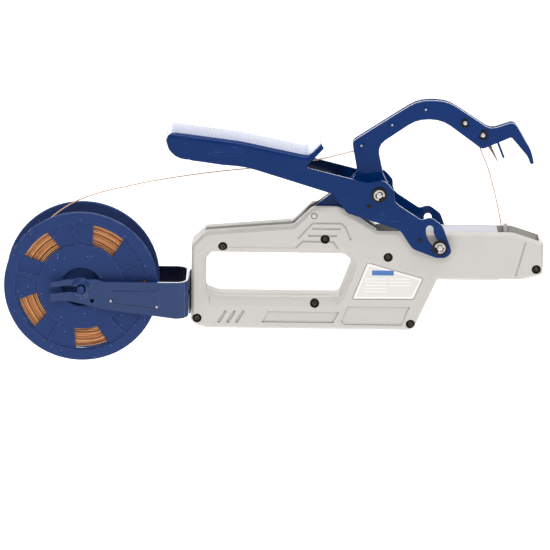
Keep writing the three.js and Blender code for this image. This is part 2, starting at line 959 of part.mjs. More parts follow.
const labelNear = nearFace + recessDepth - clearance - labelThickness;
add(
  "rating_label",
  across(outlineOf(labelPoints), labelNear, labelNear + labelThickness, { inset: clearance }),
  stickerPaper,
);

// Nose: steel cover channel and wire gripper

const coverTop = housingPoints[9][1];
const coverHalf = noseSlotWidth / 2 - clearance;
add(
  "nose_cover",
  block([coverStart, -coverHalf, coverTop - coverFlange], [coverEnd, coverHalf, coverTop]).subtract(
    block(
      [coverStart - overrun, coverSheet - coverHalf, coverTop - coverFlange - overrun],
      [coverEnd + overrun, coverHalf - coverSheet, coverTop - coverSheet],
    ),
  ),
  brightSteel,
);

const gripperStart = coverEnd + gripperSetback;
const gripperBase = coverTop + gripperRise - gripperHeight;
add(
  "wire_gripper",
  block(
    [gripperStart, gripperGap, gripperBase],
    [gripperStart + gripperLength, cavityHalf - clearance, gripperBase + gripperHeight],
  ).subtract(
    block(
      [gripperStart - overrun, gripperGap + gripperThickness * 0.4, gripperBase + gripperHeight * 0.6],
      [gripperStart + gripperLength + overrun, gripperGap + gripperThickness * 0.6, highest],
    ),
  ),
  brightSteel,
);

// Pins, washers and clips

function clip(outer, inner, thickness) {
  const open = radians(clipOpening / 2);
  const side = (radius, from, to) => {
    const points = [];
    for (let i = 0; i <= clipSteps; i++) {
      const angle = from + ((to - from) * i) / clipSteps;
      points.push([radius * Math.cos(angle), radius * Math.sin(angle)]);
    }
    return points;
  };
  const close = 2 * Math.PI - open;
  return across(outlineOf([...side(outer, open, close), ...side(inner, close, open)]), -thickness, 0);
}

const washer = (outer, inner, thickness) =>
  turned([
    [inner, 0],
    [outer, 0],
    [outer, thickness],
    [inner, thickness],
    [inner, 0],
  ]);

const leverHalf = leverWidth / 2;
const washerOut = leverHalf + clearance + washerThickness;
const clipOut = washerOut + clearance + clipThickness;
const clipInner = pinRadius - clearance;
const grooveRadius = clipInner - clearance;

// A clevis pin along Y: its groove at the near end holds a clip, its head is on the far side
function clevisPin(radius, clipNear, clipFar, groove, headNear, headFar, headRadius, nearEnd) {
  return turned([
    [0, nearEnd],
    [radius, nearEnd],
    [radius, clipNear - clearance / 2],
    [groove, clipNear - clearance / 2],
    [groove, clipFar + clearance / 2],
    [radius, clipFar + clearance / 2],
    [radius, headNear],
    [headRadius, headNear],
    [headRadius, headFar],
    [0, headFar],
  ]);
}

const mainPin = clevisPin(
  pinRadius,
  -clipOut,
  clipThickness - clipOut,
  grooveRadius,
  washerOut + clearance,
  washerOut + clearance + pinHeadThickness,
  pinHeadRadius,
  -clipOut - pinEndLength,
);
const mainWasher = washer(washerRadius, pinRadius + clearance, washerThickness);
const mainClip = clip(clipRadius, clipInner, clipThickness);
for (const [name, [x, z], turn] of [
  ["lever", leverPin, 35],
  ["guide", guidePin, 215],
]) {
  add(name + "_pin", mainPin, brightSteel, [x, 0, z]);
  add(name + "_washer_near", mainWasher, blackOxide, [x, -washerOut, z]);
  add(name + "_washer_far", mainWasher, blackOxide, [x, leverHalf + clearance, z]);
  add(name + "_clip", mainClip, brightSteel, [x, clipThickness - clipOut, z], radians(turn));
}

add(
  "hook_pivot_pin",
  barY([0, 0], pinRadius, nearFace, farFace),
  brightSteel,
  [hookPivot[0], 0, hookPivot[1]],
);

// Hook: two plates held apart by rivets, with rollers, needle and finger

const hookPoints = hookShares.map(onHook);

function hookPlate(near, far) {
  const plate = across(outlineOf(hookPoints), near, far);
  const holes = [
    [hookPivot, pinRadius],
    [leverPin, pinRadius],
    [springAnchor, rivetRadius],
    ...rivetPlaces.map((place) => [place, rivetRadius]),
    ...rollerPlaces.map((place, i) => [place, rollerPinRadii[i]]),
  ].map(([place, radius]) =>
    barY(place, radius + clearance, near - overrun, far + overrun, holeSteps),
  );
  return plate.subtract(joined(holes));
}

const finger = across(
  strokeOf(fingerShares.map(onHook), fingerWidth, fingerWidth * 0.4),
  -hookHalf,
  -hookPlateGap / 2,
);
add("hook_plate_near", hookPlate(-hookHalf, -hookPlateGap / 2).add(finger), bluePaint);
add("hook_plate_far", hookPlate(hookPlateGap / 2, hookHalf), bluePaint);

const gapHalf = hookPlateGap / 2 - clearance;
const rivet = turned([
  [0, -hookHalf],
  [rivetRadius, -hookHalf],
  [rivetRadius, -gapHalf],
  [spacerRadius, -gapHalf],
  [spacerRadius, gapHalf],
  [rivetRadius, gapHalf],
  [rivetRadius, hookHalf],
  [0, hookHalf],
], { segments: holeSteps });
rivetPlaces.forEach(([x, z], i) => add("hook_rivet_" + (i + 1), rivet, brightSteel, [x, 0, z]));

const anchorPost = turned([
  [0, -hookHalf],
  [rivetRadius, -hookHalf],
  [rivetRadius, hookHalf],
  [0, hookHalf],
], { segments: holeSteps });
add("spring_anchor", anchorPost, brightSteel, [springAnchor[0], 0, springAnchor[1]]);

const bushInner = pinRadius + clearance;
add(
  "hook_pivot_bush",
  turned([
    [bushInner, -gapHalf],
    [bushInner + bushWall, -gapHalf],
    [bushInner + bushWall, gapHalf],
    [bushInner, gapHalf],
    [bushInner, -gapHalf],
  ]),
  bronzeSteel,
  [hookPivot[0], 0, hookPivot[1]],
);

const rollerClipOut = hookHalf + clearance + clipThickness;
rollerPlaces.forEach(([x, z], i) => {
  const [radius, clipOuter] = [rollerPinRadii[i], rollerClipRadii[i]];
  const bore = radius + clearance;
  const roller = turned([
    [bore, -gapHalf],
    [rollerRadius, -gapHalf],
    [rollerRadius - rollerGroove, 0],
    [rollerRadius, gapHalf],
    [bore, gapHalf],
    [bore, -gapHalf],
  ]);
  const pin = clevisPin(
    radius,
    -rollerClipOut,
    clipThickness - rollerClipOut,
    radius - 2 * clearance,
    hookHalf + clearance,
    hookHalf + clearance + clipThickness,
    clipOuter,
    -rollerClipOut - pinEndLength / 2,
  );
  const turn = radians(i ? 200 : 60);
  add("guide_roller_" + (i + 1), roller, brightSteel, [x, 0, z]);
  add("roller_pin_" + (i + 1), pin, bronzeSteel, [x, 0, z]);
  add(
    "roller_clip_" + (i + 1),
    clip(clipOuter, radius - clearance, clipThickness),
    bronzeSteel,
    [x, clipThickness - rollerClipOut, z],
    turn,
  );
});

// The needle stands out of the hook's edge, with its root held between the plates
const [needleBase, needleTip] = needleShares.map(onHook);
const needleAngle = Math.atan2(needleTip[0] - needleBase[0], needleTip[1] - needleBase[1]);
const needle = turned([
  [0, -needleRootLength],
  [needleRadius, -needleRootLength],
  [needleRadius, needleRadius],
  [needleRadius * 0.8, needleRadius],
  [needleTipRadius, needleLength - needleRootLength - needleTipRadius],
  [0, needleLength - needleRootLength],
], { segments: screwSteps, axis: "z" });
add("needle", needle, bronzeSteel, [needleBase[0], 0, needleBase[1]], needleAngle);

// Lever: one pressed channel, open below and behind the thumb stop

const onGrip = ([x, z, round = 0]) => [
  leverPin[0] + x * leverReach,
  leverPin[1] + z * leverRise,
  round * leverRise,
];
const guideReach = guidePin[0] - leverPin[0];
const guideDrop = leverPin[1] - guidePin[1];
const onGuidePlate = ([x, z, round = 0]) => [
  leverPin[0] + x * guideReach,
  leverPin[1] - z * guideDrop,
  round * guideReach,
];

// The centre line of the slot: where the fixed guide pin lies in the lever as the hook closes
function guideSlot() {
  const steps = 6;
  const centres = [];
  for (let i = 0; i <= steps; i++) {
    const angle = (closeAngle * i) / steps;
    const pinNow = clockwise(leverPin, hookPivot, angle);
    const moved = [
      guidePin[0] - pinNow[0] + leverPin[0],
      guidePin[1] - pinNow[1] + leverPin[1],
    ];
    centres.push(clockwise(moved, leverPin, angle * leverTurnShare));
  }
  return centres;
}

function leverBody() {
  const thumbTip = onGrip(thumbTipShare);
  const right = guidePin[0] + guideReach;
  const under = guidePin[1] - guideDrop;
  const endLeft = onGrip(gripEndShares[0])[0] + leverRound * 4;
  const endLow = onGrip(gripEndShares[0])[1];
  const gripPressing = outlineOf([
    ...gripTopShares.map(onGrip),
    [thumbTip[0], thumbTip[1], leverRound * 1.2],
    [right, thumbTip[1]],
    [right, under],
    [endLeft, under],
    [endLeft, endLow],
    ...gripEndShares.map(onGrip),
  ]);
  const sheet = outlineOf([
    ...gripTopShares.map(onGrip),
    thumbTip,
    ...thumbBackShares.map(onGrip),
    ...guidePlateShares.map(onGuidePlate),
    ...gripUnderShares.map(onGrip),
    ...gripEndShares.map(onGrip),
  ]);
  const outside = across(gripPressing, -leverHalf, leverHalf, { round: leverRound, steps: 2 });
  const inside = across(gripPressing, leverSheet - leverHalf, leverHalf - leverSheet, {
    round: leverRound - leverSheet,
    inset: leverSheet,
    steps: 1,
  });
  return outside
    .intersect(across(sheet, -leverHalf - overrun, leverHalf + overrun))
    .subtract(inside);
}

function leverHoles() {
  const through = (shape) => across(shape, -leverHalf - overrun, leverHalf + overrun);
  const slotRadius = pinRadius + slotPlay;
  const centres = guideSlot();
  const ends = [centres[0], centres.at(-1)];
  return joined([
    through(strokeOf(centres, 2 * slotRadius)),
    ...ends.map((place) => barY(place, slotRadius, -leverHalf - overrun, leverHalf + overrun)),
    barY(leverPin, pinRadius + clearance / 2, -leverHalf - overrun, leverHalf + overrun),
    ...leverHoleShares.map((share) =>
      barY(onGuidePlate(share), leverHoleRadius, -leverHalf - overrun, leverHalf + overrun, 12),
    ),
  ]);
}

add("lever", leverBody().subtract(leverHoles()), bluePaint);

// Return spring: a coil from a post in the handle, over the pivot bush, to the hook

const bushClear = bushInner + bushWall + springRadius + springWireRadius + clearance;
const overBush = [
  hookPivot[0] - bushClear * Math.sin(radians(35)),
  hookPivot[1] + bushClear * Math.cos(radians(35)),
];
const postClear = springPostRadius + springWireRadius + clearance;
const towards = ([x, z], [targetX, targetZ], reach) => {
  const length = Math.hypot(targetX - x, targetZ - z);
  return [x + ((targetX - x) * reach) / length, z + ((targetZ - z) * reach) / length];
};
const springStart = towards(springPost, overBush, postClear);
const springEnd = towards(springAnchor, overBush, rivetRadius + springWireRadius + clearance);
const springLine = curveThrough(
  [springStart, towards(overBush, springPost, 7), overBush, towards(overBush, springAnchor, 7), springEnd].map(
    ([x, z]) => [x, 0, z],
  ),
);

function springPoints() {
  const count = springTurns * springSteps;
  const points = [];
  const straight = springWireRadius * 2;
  for (let i = 0; i <= count; i++) {
    const share = 0.06 + (0.88 * i) / count;
    const centre = springLine.getPointAt(share);
    const along = springLine.getTangentAt(share);
    const upright = new THREE.Vector3(-along.z, 0, along.x);
    const angle = (i / springSteps) * 2 * Math.PI;
    const radius = springRadius * Math.min(1, i / springSteps, (count - i) / springSteps);
    points.push(
      centre
        .addScaledVector(upright, radius * Math.cos(angle))
        .add(new THREE.Vector3(0, radius * Math.sin(angle), 0)),
    );
  }
  const lead = (share, sign) =>
    springLine.getPointAt(share).addScaledVector(springLine.getTangentAt(share), sign * straight);
  return [springLine.getPointAt(0), lead(0, 1), ...points, lead(1, -1), springLine.getPointAt(1)];
}

const springCurve = new THREE.CatmullRomCurve3(springPoints());
console.log(
  "return spring least gap",
  leastGap(springCurve.getSpacedPoints(springTurns * 16), springWireRadius, 16).toFixed(2),
);
add(
  "return_spring",
  tubeAlong(springCurve, springWireRadius, 5, (springTurns + 1) * springSteps),
  bronzeSteel,
);

add(
  "spring_post",
  barY([0, 0], springPostRadius, clearance - cavityHalf, cavityHalf - clearance, 12),
  brightSteel,
  [springPost[0], 0, springPost[1]],
);

// Reel: two moulded halves that meet on the hub, with windows to the wire

function windowShape(centre) {
  const side = (radius, from, to) => {
    const points = [];
    for (let i = 0; i <= windowSteps; i++) {
      const angle = radians(centre + from + ((to - from) * i) / windowSteps);
      points.push([radius * Math.cos(angle), radius * Math.sin(angle)]);
    }
    return points;
  };
  const half = windowAngle / 2;
  const windowOuter = reelRadius - rimWidth - windowMargin;
  const windowInner = hubRadius + rimStep / 2;
  return outlineOf([
    ...side(windowOuter, windowSwirl - half, windowSwirl + half),
    ...side(windowInner, half, -half),
  ]);
}

// One half of the reel: side is 1 on the far half and -1 on the near one
function reelHalf(side) {
  const face = reelWidth / 2;
  const inner = face - reelSheet;
  const floor = face - hubRecessDepth;
  const axleEnd = floor + axleLength;
  const sleeveInner = sleeveRadius - reelSheet;
  const hubOuter = hubRecessRadius + reelSheet;
  const profile = [
    [0, axleEnd],
    [axleRadius * 0.7, axleEnd],
    [axleRadius, axleEnd - axleRadius * 0.3],
    [axleRadius, floor],
    [hubRecessRadius, floor],
    [hubRecessRadius, face],
    [hubRadius, face],
    [hubRadius, face - rimStep],
    [reelRadius - rimWidth, face - rimStep],
    [reelRadius - rimWidth, face],
    [reelRadius, face],
    [reelRadius, inner],
    [sleeveRadius, inner],
    [sleeveRadius, clearance / 2],
    [sleeveInner, clearance / 2],
    [sleeveInner, inner],
    [hubOuter, inner],
    [hubOuter, floor - reelSheet],
    [0, floor - reelSheet],
  ].map(([radius, height]) => [radius, side * height]);
  const onSide = (shape, from, to) =>
    across(shape, Math.min(side * from, side * to), Math.max(side * from, side * to));
  const windows = [];
  const ribs = [];
  for (let i = 0; i < windowCount; i++) {
    const centre = windowFirst + (i * 360) / windowCount;
    windows.push(onSide(windowShape(centre), inner - overrun, face + overrun));
    const angle = radians(centre + 180 / windowCount);
    const ends = [hubRadius - rimStep, reelRadius - rimWidth / 2].map((radius) => [
      radius * Math.cos(angle),
      radius * Math.sin(angle),
    ]);
    const rib = strokeOf(ends, reelRibWidth);
    ribs.push(onSide(rib, face - rimStep - reelSheet / 2, face - rimStep + reelRibHeight));
  }
  return turned(profile, { segments: reelSegments }).subtract(joined(windows)).add(joined(ribs));
}

const reelPlace = [reelCentre[0], 0, reelCentre[1]];
add("reel_half_far", reelHalf(1), reelPlastic, reelPlace);
add("reel_half_near", reelHalf(-1), reelPlastic, reelPlace);

const packHalf = reelWidth / 2 - reelSheet - clearance;
const packRadius = windingRadius * Math.cos(Math.PI / windingSteps) - wireRadius - clearance;
add(
  "wire_pack",
  turned([
    [sleeveRadius + clearance, -packHalf],
    [packRadius, -packHalf],
    [packRadius, packHalf],
    [sleeveRadius + clearance, packHalf],
    [sleeveRadius + clearance, -packHalf],
  ], { segments: reelSegments }),
  paperWire,
  reelPlace,
);

// The outer layer of the winding: one unbroken tube that climbs along the reel
const windingPitch = (windingEndDepth + packHalf - 2 * wireRadius) / windingTurns;
function windingPoints() {
  const count = windingTurns * windingSteps;
  const points = [];
  for (let i = 0; i <= count; i++) {
    const turnsLeft = (count - i) / windingSteps;
    const angle = radians(windingEndAngle) + turnsLeft * 2 * Math.PI;
    points.push(
      new THREE.Vector3(
        windingRadius * Math.cos(angle),
        windingEndDepth - windingPitch * turnsLeft,
        windingRadius * Math.sin(angle),
      ),
    );
  }
  return points;
}

const windingCurve = new THREE.CatmullRomCurve3(windingPoints());
console.log(
  "wire winding least gap",
  leastGap(windingPoints(), wireRadius, windingSteps).toFixed(2),
);
add(
  "wire_winding",
  tubeAlong(windingCurve, wireRadius, 5, windingTurns * windingSteps),
  paperWire,
  reelPlace,
);

// The wire from the reel through the lever and the hook to the nose
add("wire_feed", tubeAlong(curveThrough(feedRoute), wireRadius, 8, feedSteps), paperWire);
add("wire_in_hook", tubeAlong(curveThrough(armRoute), wireRadius, 8, armSteps), paperWire);
add("wire_tail", tubeAlong(curveThrough(tailRoute), wireRadius, 8, tailSteps), paperWire);

// Reel bracket: one strip of steel bent to a U, forked at both ends

function bracketStrip() {
  const [bendX, stepStartX, stepEndX] = bracketBendShares.map((share) => onBracket([share, 0])[0]);
  const armMiddle = reelWidth / 2 + bracketStep + bracketSheet * 1.5;
  const forkMiddle = armMiddle - bracketStep;
  const webX = bracketEnd - bracketSheet / 2;
  const half = [
    [bracketStart - overrun, forkMiddle + bracketSplay],
    [bendX, forkMiddle],
    [stepStartX, forkMiddle],
    [stepEndX, armMiddle],
    [webX - bracketCorner, armMiddle],
  ];
  const corner = [];
  const cornerSteps = 4;
  for (let i = 1; i <= cornerSteps; i++) {
    const angle = (i / cornerSteps) * (Math.PI / 2);
    corner.push([
      webX - bracketCorner + bracketCorner * Math.sin(angle),
      armMiddle - bracketCorner + bracketCorner * Math.cos(angle),
    ]);
  }
  const nearSide = [...half, ...corner].map(([x, y]) => [x, -y]);
  const farSide = [...half, ...corner].reverse();
  const strip = strokeOf([...nearSide, ...farSide], bracketSheet);
  const geometry = new THREE.ExtrudeGeometry(strip, {
    depth: bracketHeight * 2,
    bevelEnabled: false,
  });
  geometry.translate(0, 0, bracketBase - bracketHeight / 2);
  return { strip: solidOf(geometry), forkOut: forkMiddle + bracketSheet / 2, armOut: armMiddle + bracketSheet / 2 };
}

function reelBracket() {
  const { strip, forkOut, armOut } = bracketStrip();
  const wide = armOut + overrun + bracketSplay;
  const side = across(outlineOf(bracketShares.map(onBracket)), -wide, wide);
  const eye = barY(reelCentre, forkEyeRadius, -wide, wide, fineSteps);
  const slotPoints = [bracketShares[1], bracketShares[2], bracketShares[3], bracketShares[4]];
  const slot = across(outlineOf(slotPoints.map((share) => onBracket(share.slice(0, 2)))), -wide, wide);
  const domeProfile = [
    [axleSeatRadius, forkOut - bracketSheet],
    [forkEyeRadius - clearance, forkOut - bracketSheet],
    [forkEyeRadius - clearance, forkOut - clearance],
    [forkEyeRadius * 0.75, forkOut + forkDomeHeight * 0.7],
    [axleSeatRadius + bracketSheet * 0.4, forkOut + forkDomeHeight],
    [axleSeatRadius, forkOut + forkDomeHeight],
    [axleSeatRadius, forkOut - bracketSheet],
  ];
  const dome = (side) =>
    turned(
      domeProfile.map(([radius, height]) => [radius, side * height]),
      { segments: fineSteps, place: [reelCentre[0], 0, reelCentre[1]] },
    );
  const emboss = outlineOf(embossShares.map(onBracket));
  const embossing = across(emboss, -armOut - embossHeight, armOut + embossHeight, {
    round: embossHeight,
    steps: 1,
  }).subtract(across(emboss, bracketSheet / 2 - armOut, armOut - bracketSheet / 2));
  return strip
    .intersect(side.add(eye))
    .add(dome(-1))
    .add(dome(1))
    .subtract(slot)
    .subtract(barY(reelCentre, axleSeatRadius, -wide, wide, fineSteps))
    .add(embossing)
    .subtract(barY(onBracket(bracketHoleShares), bracketHoleRadius, -wide, wide, 12))
    .subtract(
      barX(boltPlace, boltRadius + clearance, bracketEnd - 2 * bracketSheet, bracketEnd + overrun, 12),
    );
}

add("reel_bracket", reelBracket(), bluePaint);

const padHalf = cavityHalf + clearance;
const padStart = housingLeft - clearance - padThickness;
add(
  "bracket_pad",
  block([padStart, -padHalf, bracketBase], [padStart + padThickness, padHalf, bracketBase + bracketHeight]).subtract(
    barX(boltPlace, boltRadius + clearance, padStart - overrun, housingLeft, 12),
  ),
  blackRubber,
);

const boltSeat = bracketEnd - bracketSheet - clearance;
add(
  "bracket_bolt",
  turned([
    [0, -boltHeadHeight],
    [boltHeadRadius * 0.7, -boltHeadHeight],
    [boltHeadRadius, -boltHeadHeight * 0.5],
    [boltHeadRadius, 0],
    [boltRadius, 0],
    [boltRadius, boltLength],
    [0, boltLength],
  ], { axis: "x" }).subtract(
    block(
      [-boltHeadHeight - overrun, -boltSocket / 2, -boltSocket / 2],
      [-boltHeadHeight / 2, boltSocket / 2, boltSocket / 2],
    ),
  ),
  brightSteel,
  [boltSeat, ...boltPlace],
);

// Drive: motor, pinion, idler and twister spindle

function gearOutline(teeth) {
  const pitch = (gearModule * teeth) / 2;
  const tip = gearTip(teeth);
  const root = pitch - gearModule * 1.1;
  const step = (2 * Math.PI) / teeth;
  const shape = new THREE.Shape();
  for (let i = 0; i < teeth; i++) {
    const flank = [
      [root, -0.3],
      [tip, -0.12],
      [tip, 0.12],
      [root, 0.3],
    ];
    flank.forEach(([radius, share], j) => {
      const angle = (i + share) * step;
      const point = [radius * Math.cos(angle), radius * Math.sin(angle)];
      if (i + j === 0) shape.moveTo(...point);
      else shape.lineTo(...point);
    });
  }
  shape.closePath();
  return shape;
}

// A gear whose axis is X, its teeth laid out in Y and Z
function gear(teeth, start, width, height) {
  const geometry = new THREE.ExtrudeGeometry(gearOutline(teeth), { depth: width, bevelEnabled: false });
  geometry.rotateX(Math.PI / 2);
  geometry.rotateZ(Math.PI / 2);
  geometry.translate(start, 0, height);
  return solidOf(geometry);
}

const pinionStart = gearStart - gearModule / 2;
add(
  "motor",
  barX([0, motorHeight], motorRadius, motorStart, motorEnd, boreSteps)
    .add(barX([0, motorHeight], motorRadius * 0.4, motorEnd - overrun, motorEnd + motorShaftRadius))
    .subtract(
      barX([0, motorHeight], motorShaftRadius + clearance, motorEnd - motorBoreDepth, motorEnd + overrun, 12),
    ),
  brightSteel,
);
add(
  "motor_pinion",
  barX(
    [0, motorHeight],
    motorShaftRadius,
    motorEnd - motorBoreDepth + clearance,
    pinionStart + pinionWidth + clearance,
    12,
  ).add(gear(pinionTeeth, pinionStart, pinionWidth, motorHeight)),
  bronzeSteel,
);
add(
  "idler_gear",
  gear(idlerTeeth, gearStart, gearWidth, idlerHeight).subtract(
    barX([0, idlerHeight], idlerPinRadius + clearance, gearStart - overrun, gearStart + gearWidth + overrun, 12),
  ),
  whiteNylon,
);
add(
  "idler_pin",
  barX(
    [0, idlerHeight],
    idlerPinRadius,
    gearStart - 2 * ribThickness,
    gearStart + gearWidth + 2 * ribThickness,
    12,
  ),
  brightSteel,
);

function twisterSpindle() {
  const headStart = spindleEnd - spindleHeadLength;
  const shaft = turned([
    [0, spindleStart],
    [spindleRadius, spindleStart],
    [spindleRadius, headStart],
    [spindleHeadRadius, headStart],
    [spindleHeadRadius, spindleEnd - spindleRadius / 2],
    [spindleHeadRadius - spindleRadius / 2, spindleEnd],
    [0, spindleEnd],
  ], { axis: "x", place: [0, 0, spindleHeight] });
  const slot = block(
    [spindleEnd - twistSlotDepth, -twistSlotWidth / 2, spindleHeight - spindleHeadRadius - overrun],
    [spindleEnd + overrun, twistSlotWidth / 2, spindleHeight + spindleHeadRadius + overrun],
  );
  return shaft.add(gear(pinionTeeth, pinionStart, pinionWidth, spindleHeight)).subtract(slot);
}

add("twister_spindle", twisterSpindle(), brightSteel);
bearingStarts.forEach((start, i) =>
  add(
    "spindle_bearing_" + (i + 1),
    barX([0, spindleHeight], bearingRadius, start, start + bearingWidth, boreSteps).subtract(
      barX([0, spindleHeight], spindleRadius + clearance / 2, start - overrun, start + bearingWidth + overrun),
    ),
    bronzeSteel,
  ),
);

// Power: battery pack, board and the switch that the closing hook presses

add(
  "battery_pack",
  turned([
    [0, batteryStart],
    [batteryRadius * 0.4, batteryStart],
    [batteryRadius * 0.4, batteryStart + batteryNeck],
    [batteryRadius, batteryStart + batteryNeck],
    [batteryRadius, batteryStart + (batteryLength - batteryNeck) / 2],
    [batteryRadius * 0.4, batteryStart + (batteryLength - batteryNeck) / 2],
    [batteryRadius * 0.4, batteryStart + (batteryLength + batteryNeck) / 2],
    [batteryRadius, batteryStart + (batteryLength + batteryNeck) / 2],
    [batteryRadius, batteryStart + batteryLength],
    [0, batteryStart + batteryLength],
  ], { segments: fineSteps, axis: "x", place: [0, 0, batteryHeight] }),
  cellWrap,
);

const boardFar = cavityHalf - clearance;
add(
  "circuit_board",
  block(
    [boardEnd - boardLength, boardFar - boardThickness, boardBase],
    [boardEnd, boardFar, boardTop],
  ),
  greenBoard,
);

const plungerY = hookPlateGap / 2 + hookPlateThickness / 2;
const switchTop = plungerTop - plungerTravel - 2 * clearance - plungerRadius;
add(
  "start_switch",
  block(
    [switchCentre - switchLength / 2, plungerY - plungerRadius - clearance * 3, switchTop - switchHeight],
    [switchCentre + switchLength / 2, cavityHalf - clearance, switchTop],
  ).subtract(
    barZ([switchCentre, plungerY], plungerRadius + clearance, switchTop - switchHeight, switchTop + overrun),
  ),
  blackRubber,
);
add(
  "switch_plunger",
  barZ([0, 0], plungerRadius, 0, plungerTop - switchTop + plungerTravel),
  whiteNylon,
  [switchCentre, plungerY, switchTop - plungerTravel],
);

export default tool;
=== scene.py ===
"""Vine tying tool: a wire reel on a forked bracket, a moulded handle, a squeeze lever and a curved hook.

Places are written in millimetres, in the frame of the CAD part, and become metres in mm().
Every piece is modelled where it belongs, with its object at the origin.
"""

import json
import math
import random
from functools import partialmethod, reduce

import bmesh
import bpy
from mathutils import Matrix, Vector
from mathutils.kdtree import KDTree


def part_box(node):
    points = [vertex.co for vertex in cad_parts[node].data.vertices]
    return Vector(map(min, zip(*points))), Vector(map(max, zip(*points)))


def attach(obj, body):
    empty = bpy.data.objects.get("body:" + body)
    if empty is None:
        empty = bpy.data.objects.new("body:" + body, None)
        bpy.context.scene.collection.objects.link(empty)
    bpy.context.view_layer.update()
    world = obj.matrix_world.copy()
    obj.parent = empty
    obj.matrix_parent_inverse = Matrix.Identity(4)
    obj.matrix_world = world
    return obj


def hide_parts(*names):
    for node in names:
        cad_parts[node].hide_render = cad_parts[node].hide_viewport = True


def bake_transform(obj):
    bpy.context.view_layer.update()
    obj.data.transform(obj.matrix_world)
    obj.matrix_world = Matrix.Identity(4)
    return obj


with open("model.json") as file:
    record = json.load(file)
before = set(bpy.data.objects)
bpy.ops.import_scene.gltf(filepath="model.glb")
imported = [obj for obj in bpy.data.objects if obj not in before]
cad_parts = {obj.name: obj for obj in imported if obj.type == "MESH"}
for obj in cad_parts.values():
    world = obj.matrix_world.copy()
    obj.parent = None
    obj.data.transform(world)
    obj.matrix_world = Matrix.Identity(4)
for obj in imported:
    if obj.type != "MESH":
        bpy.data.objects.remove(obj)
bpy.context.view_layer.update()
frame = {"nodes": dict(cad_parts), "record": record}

MM = 0.001
TURN = 2 * math.pi
BEHAVIOUR = frame["record"]["behaviour"]
BODY_OF = {node: body for body, nodes in BEHAVIOUR["bodies"].items() for node in nodes}


def mm(*values):
    """A point or a step given in millimetres."""
    return Vector(values) * MM


def around(centre, radius, angle):
    """A point (x, z) at an angle round another one."""
    return centre[0] + radius * math.cos(angle), centre[1] + radius * math.sin(angle)


X_WAY, Y_WAY, Z_WAY = (Vector(row) for row in Matrix.Identity(3))


def joint_place(joint):
    """The (x, z) place, in millimetres, of a joint of the part."""
    place = next(entry["pos_m"] for entry in BEHAVIOUR["joints"] if entry["name"] == joint)
    return round(place[0] / MM, 3), round(place[2] / MM, 3)


def middle_of(node, digits):
    """The (x, z) place, in millimetres, of the middle of a CAD node."""
    low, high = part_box(node)
    x, _, z = (low + high) / 2 / MM
    return round(x, digits), round(z, digits)


HOOK_PIVOT, LEVER_PIN = joint_place("hook_close"), joint_place("lever_squeeze")
REEL_CENTRE, GUIDE_PIN = joint_place("reel_spin"), middle_of("guide_pin", 3)
SPRING_POST, SPRING_ANCHOR = (7.884, 66.15), (48.224, 102.424)

# The wire, as it runs from the reel over the lever and through the hook to the nose

WIRE_RADIUS = 0.45
FEED_ROUTE = [
    (-176.8, 6, 53.8), (-172.4, 5.9, 61.2), (-167.2, 5.8, 68.6), (-160.6, 5.6, 75.8), (-152.2, 5.4, 82.6),
    (-141.9, 5.1, 88.9), (-123.8, 4.6, 95.8), (-105.6, 4.1, 100.5), (-89.7, 3.6, 104.3), (-76, 3.2, 106.9),
    (-60, 2.8, 109.7), (-40, 2.3, 112.7), (-19.1, 1.7, 115.3), (5, 1, 118.8), (31.4, 0.3, 123.2),
    (44.8, 0, 126.8), (50.6, 0, 128.3),
]
ARM_ROUTE = [
    (50.9, 0, 128.4), (55.2, 0, 129.6), (59.9, 0, 131.2), (65, 0, 134), (71, 0, 138.3), (76.4, 0, 142.4),
    (82, 0, 146.4), (89, 0, 151.2), (96.5, 0, 155.2), (104.7, 0, 157.8), (113, 0, 158.8), (121, 0, 158.2),
    (128, 0, 156.9), (133, 0, 156.1), (136.6, 0, 153.6), (139.4, 0, 148.6), (140.9, 0, 143.4),
    (142.2, 0, 138), (143.8, 0, 133),
]
TAIL_ROUTE = [
    (143.9, 0, 132.7), (146, 0.3, 127.6), (148.3, 0.8, 122.2), (150.6, 1.3, 116.2), (153.1, 2, 107.8),
    (155.5, 2.7, 99.2), (157.8, 3.4, 89.8), (159.8, 4, 80.8), (161.1, 4.3, 74), (161.6, 4.4, 70),
]

# Camera at the photograph's angle: a long lens that looks down a little, with a slight roll; in metres

SIGHT_ANGLE = math.radians(16.6)
SIGHT_DISTANCE = 2.455
ROLL = math.radians(-0.75)
AIM = mm(20, 0, 35)
AIM_LIFT = 0.0372776
LENS, SENSOR_WIDTH = 224.5, 36
SIGHT_END = 50


def photographer():
    bpy.ops.object.camera_add()
    camera = bpy.context.object
    camera.name = "studio_camera"
    camera.data.lens = LENS
    camera.data.sensor_width = SENSOR_WIDTH
    camera.data.clip_end = SIGHT_END
    back = Vector((0, -math.cos(SIGHT_ANGLE), math.sin(SIGHT_ANGLE))) * SIGHT_DISTANCE
    stand = Matrix.Translation(back) @ Matrix.Rotation(math.pi / 2 - SIGHT_ANGLE, 4, "X")
    rolled = Matrix.Translation(AIM) @ Matrix.Rotation(ROLL, 4, "Y") @ Matrix.Translation(-AIM)
    camera.matrix_world = rolled @ Matrix.Translation((0, 0, AIM_LIFT)) @ stand
    bpy.context.scene.camera = camera


photographer()

# Working at the bench: selecting, editing and finishing a mesh

SAME_PLACE = MM / 1000
CAD_WELD = 0.02 * MM
CAD_FLAT = math.radians(0.2)
SMOOTH_ANGLE = math.radians(35)


def deselect():
    bpy.ops.object.select_all(action="DESELECT")


def pick_up(piece):
    deselect()
    piece.select_set(True)
    bpy.context.view_layer.objects.active = piece


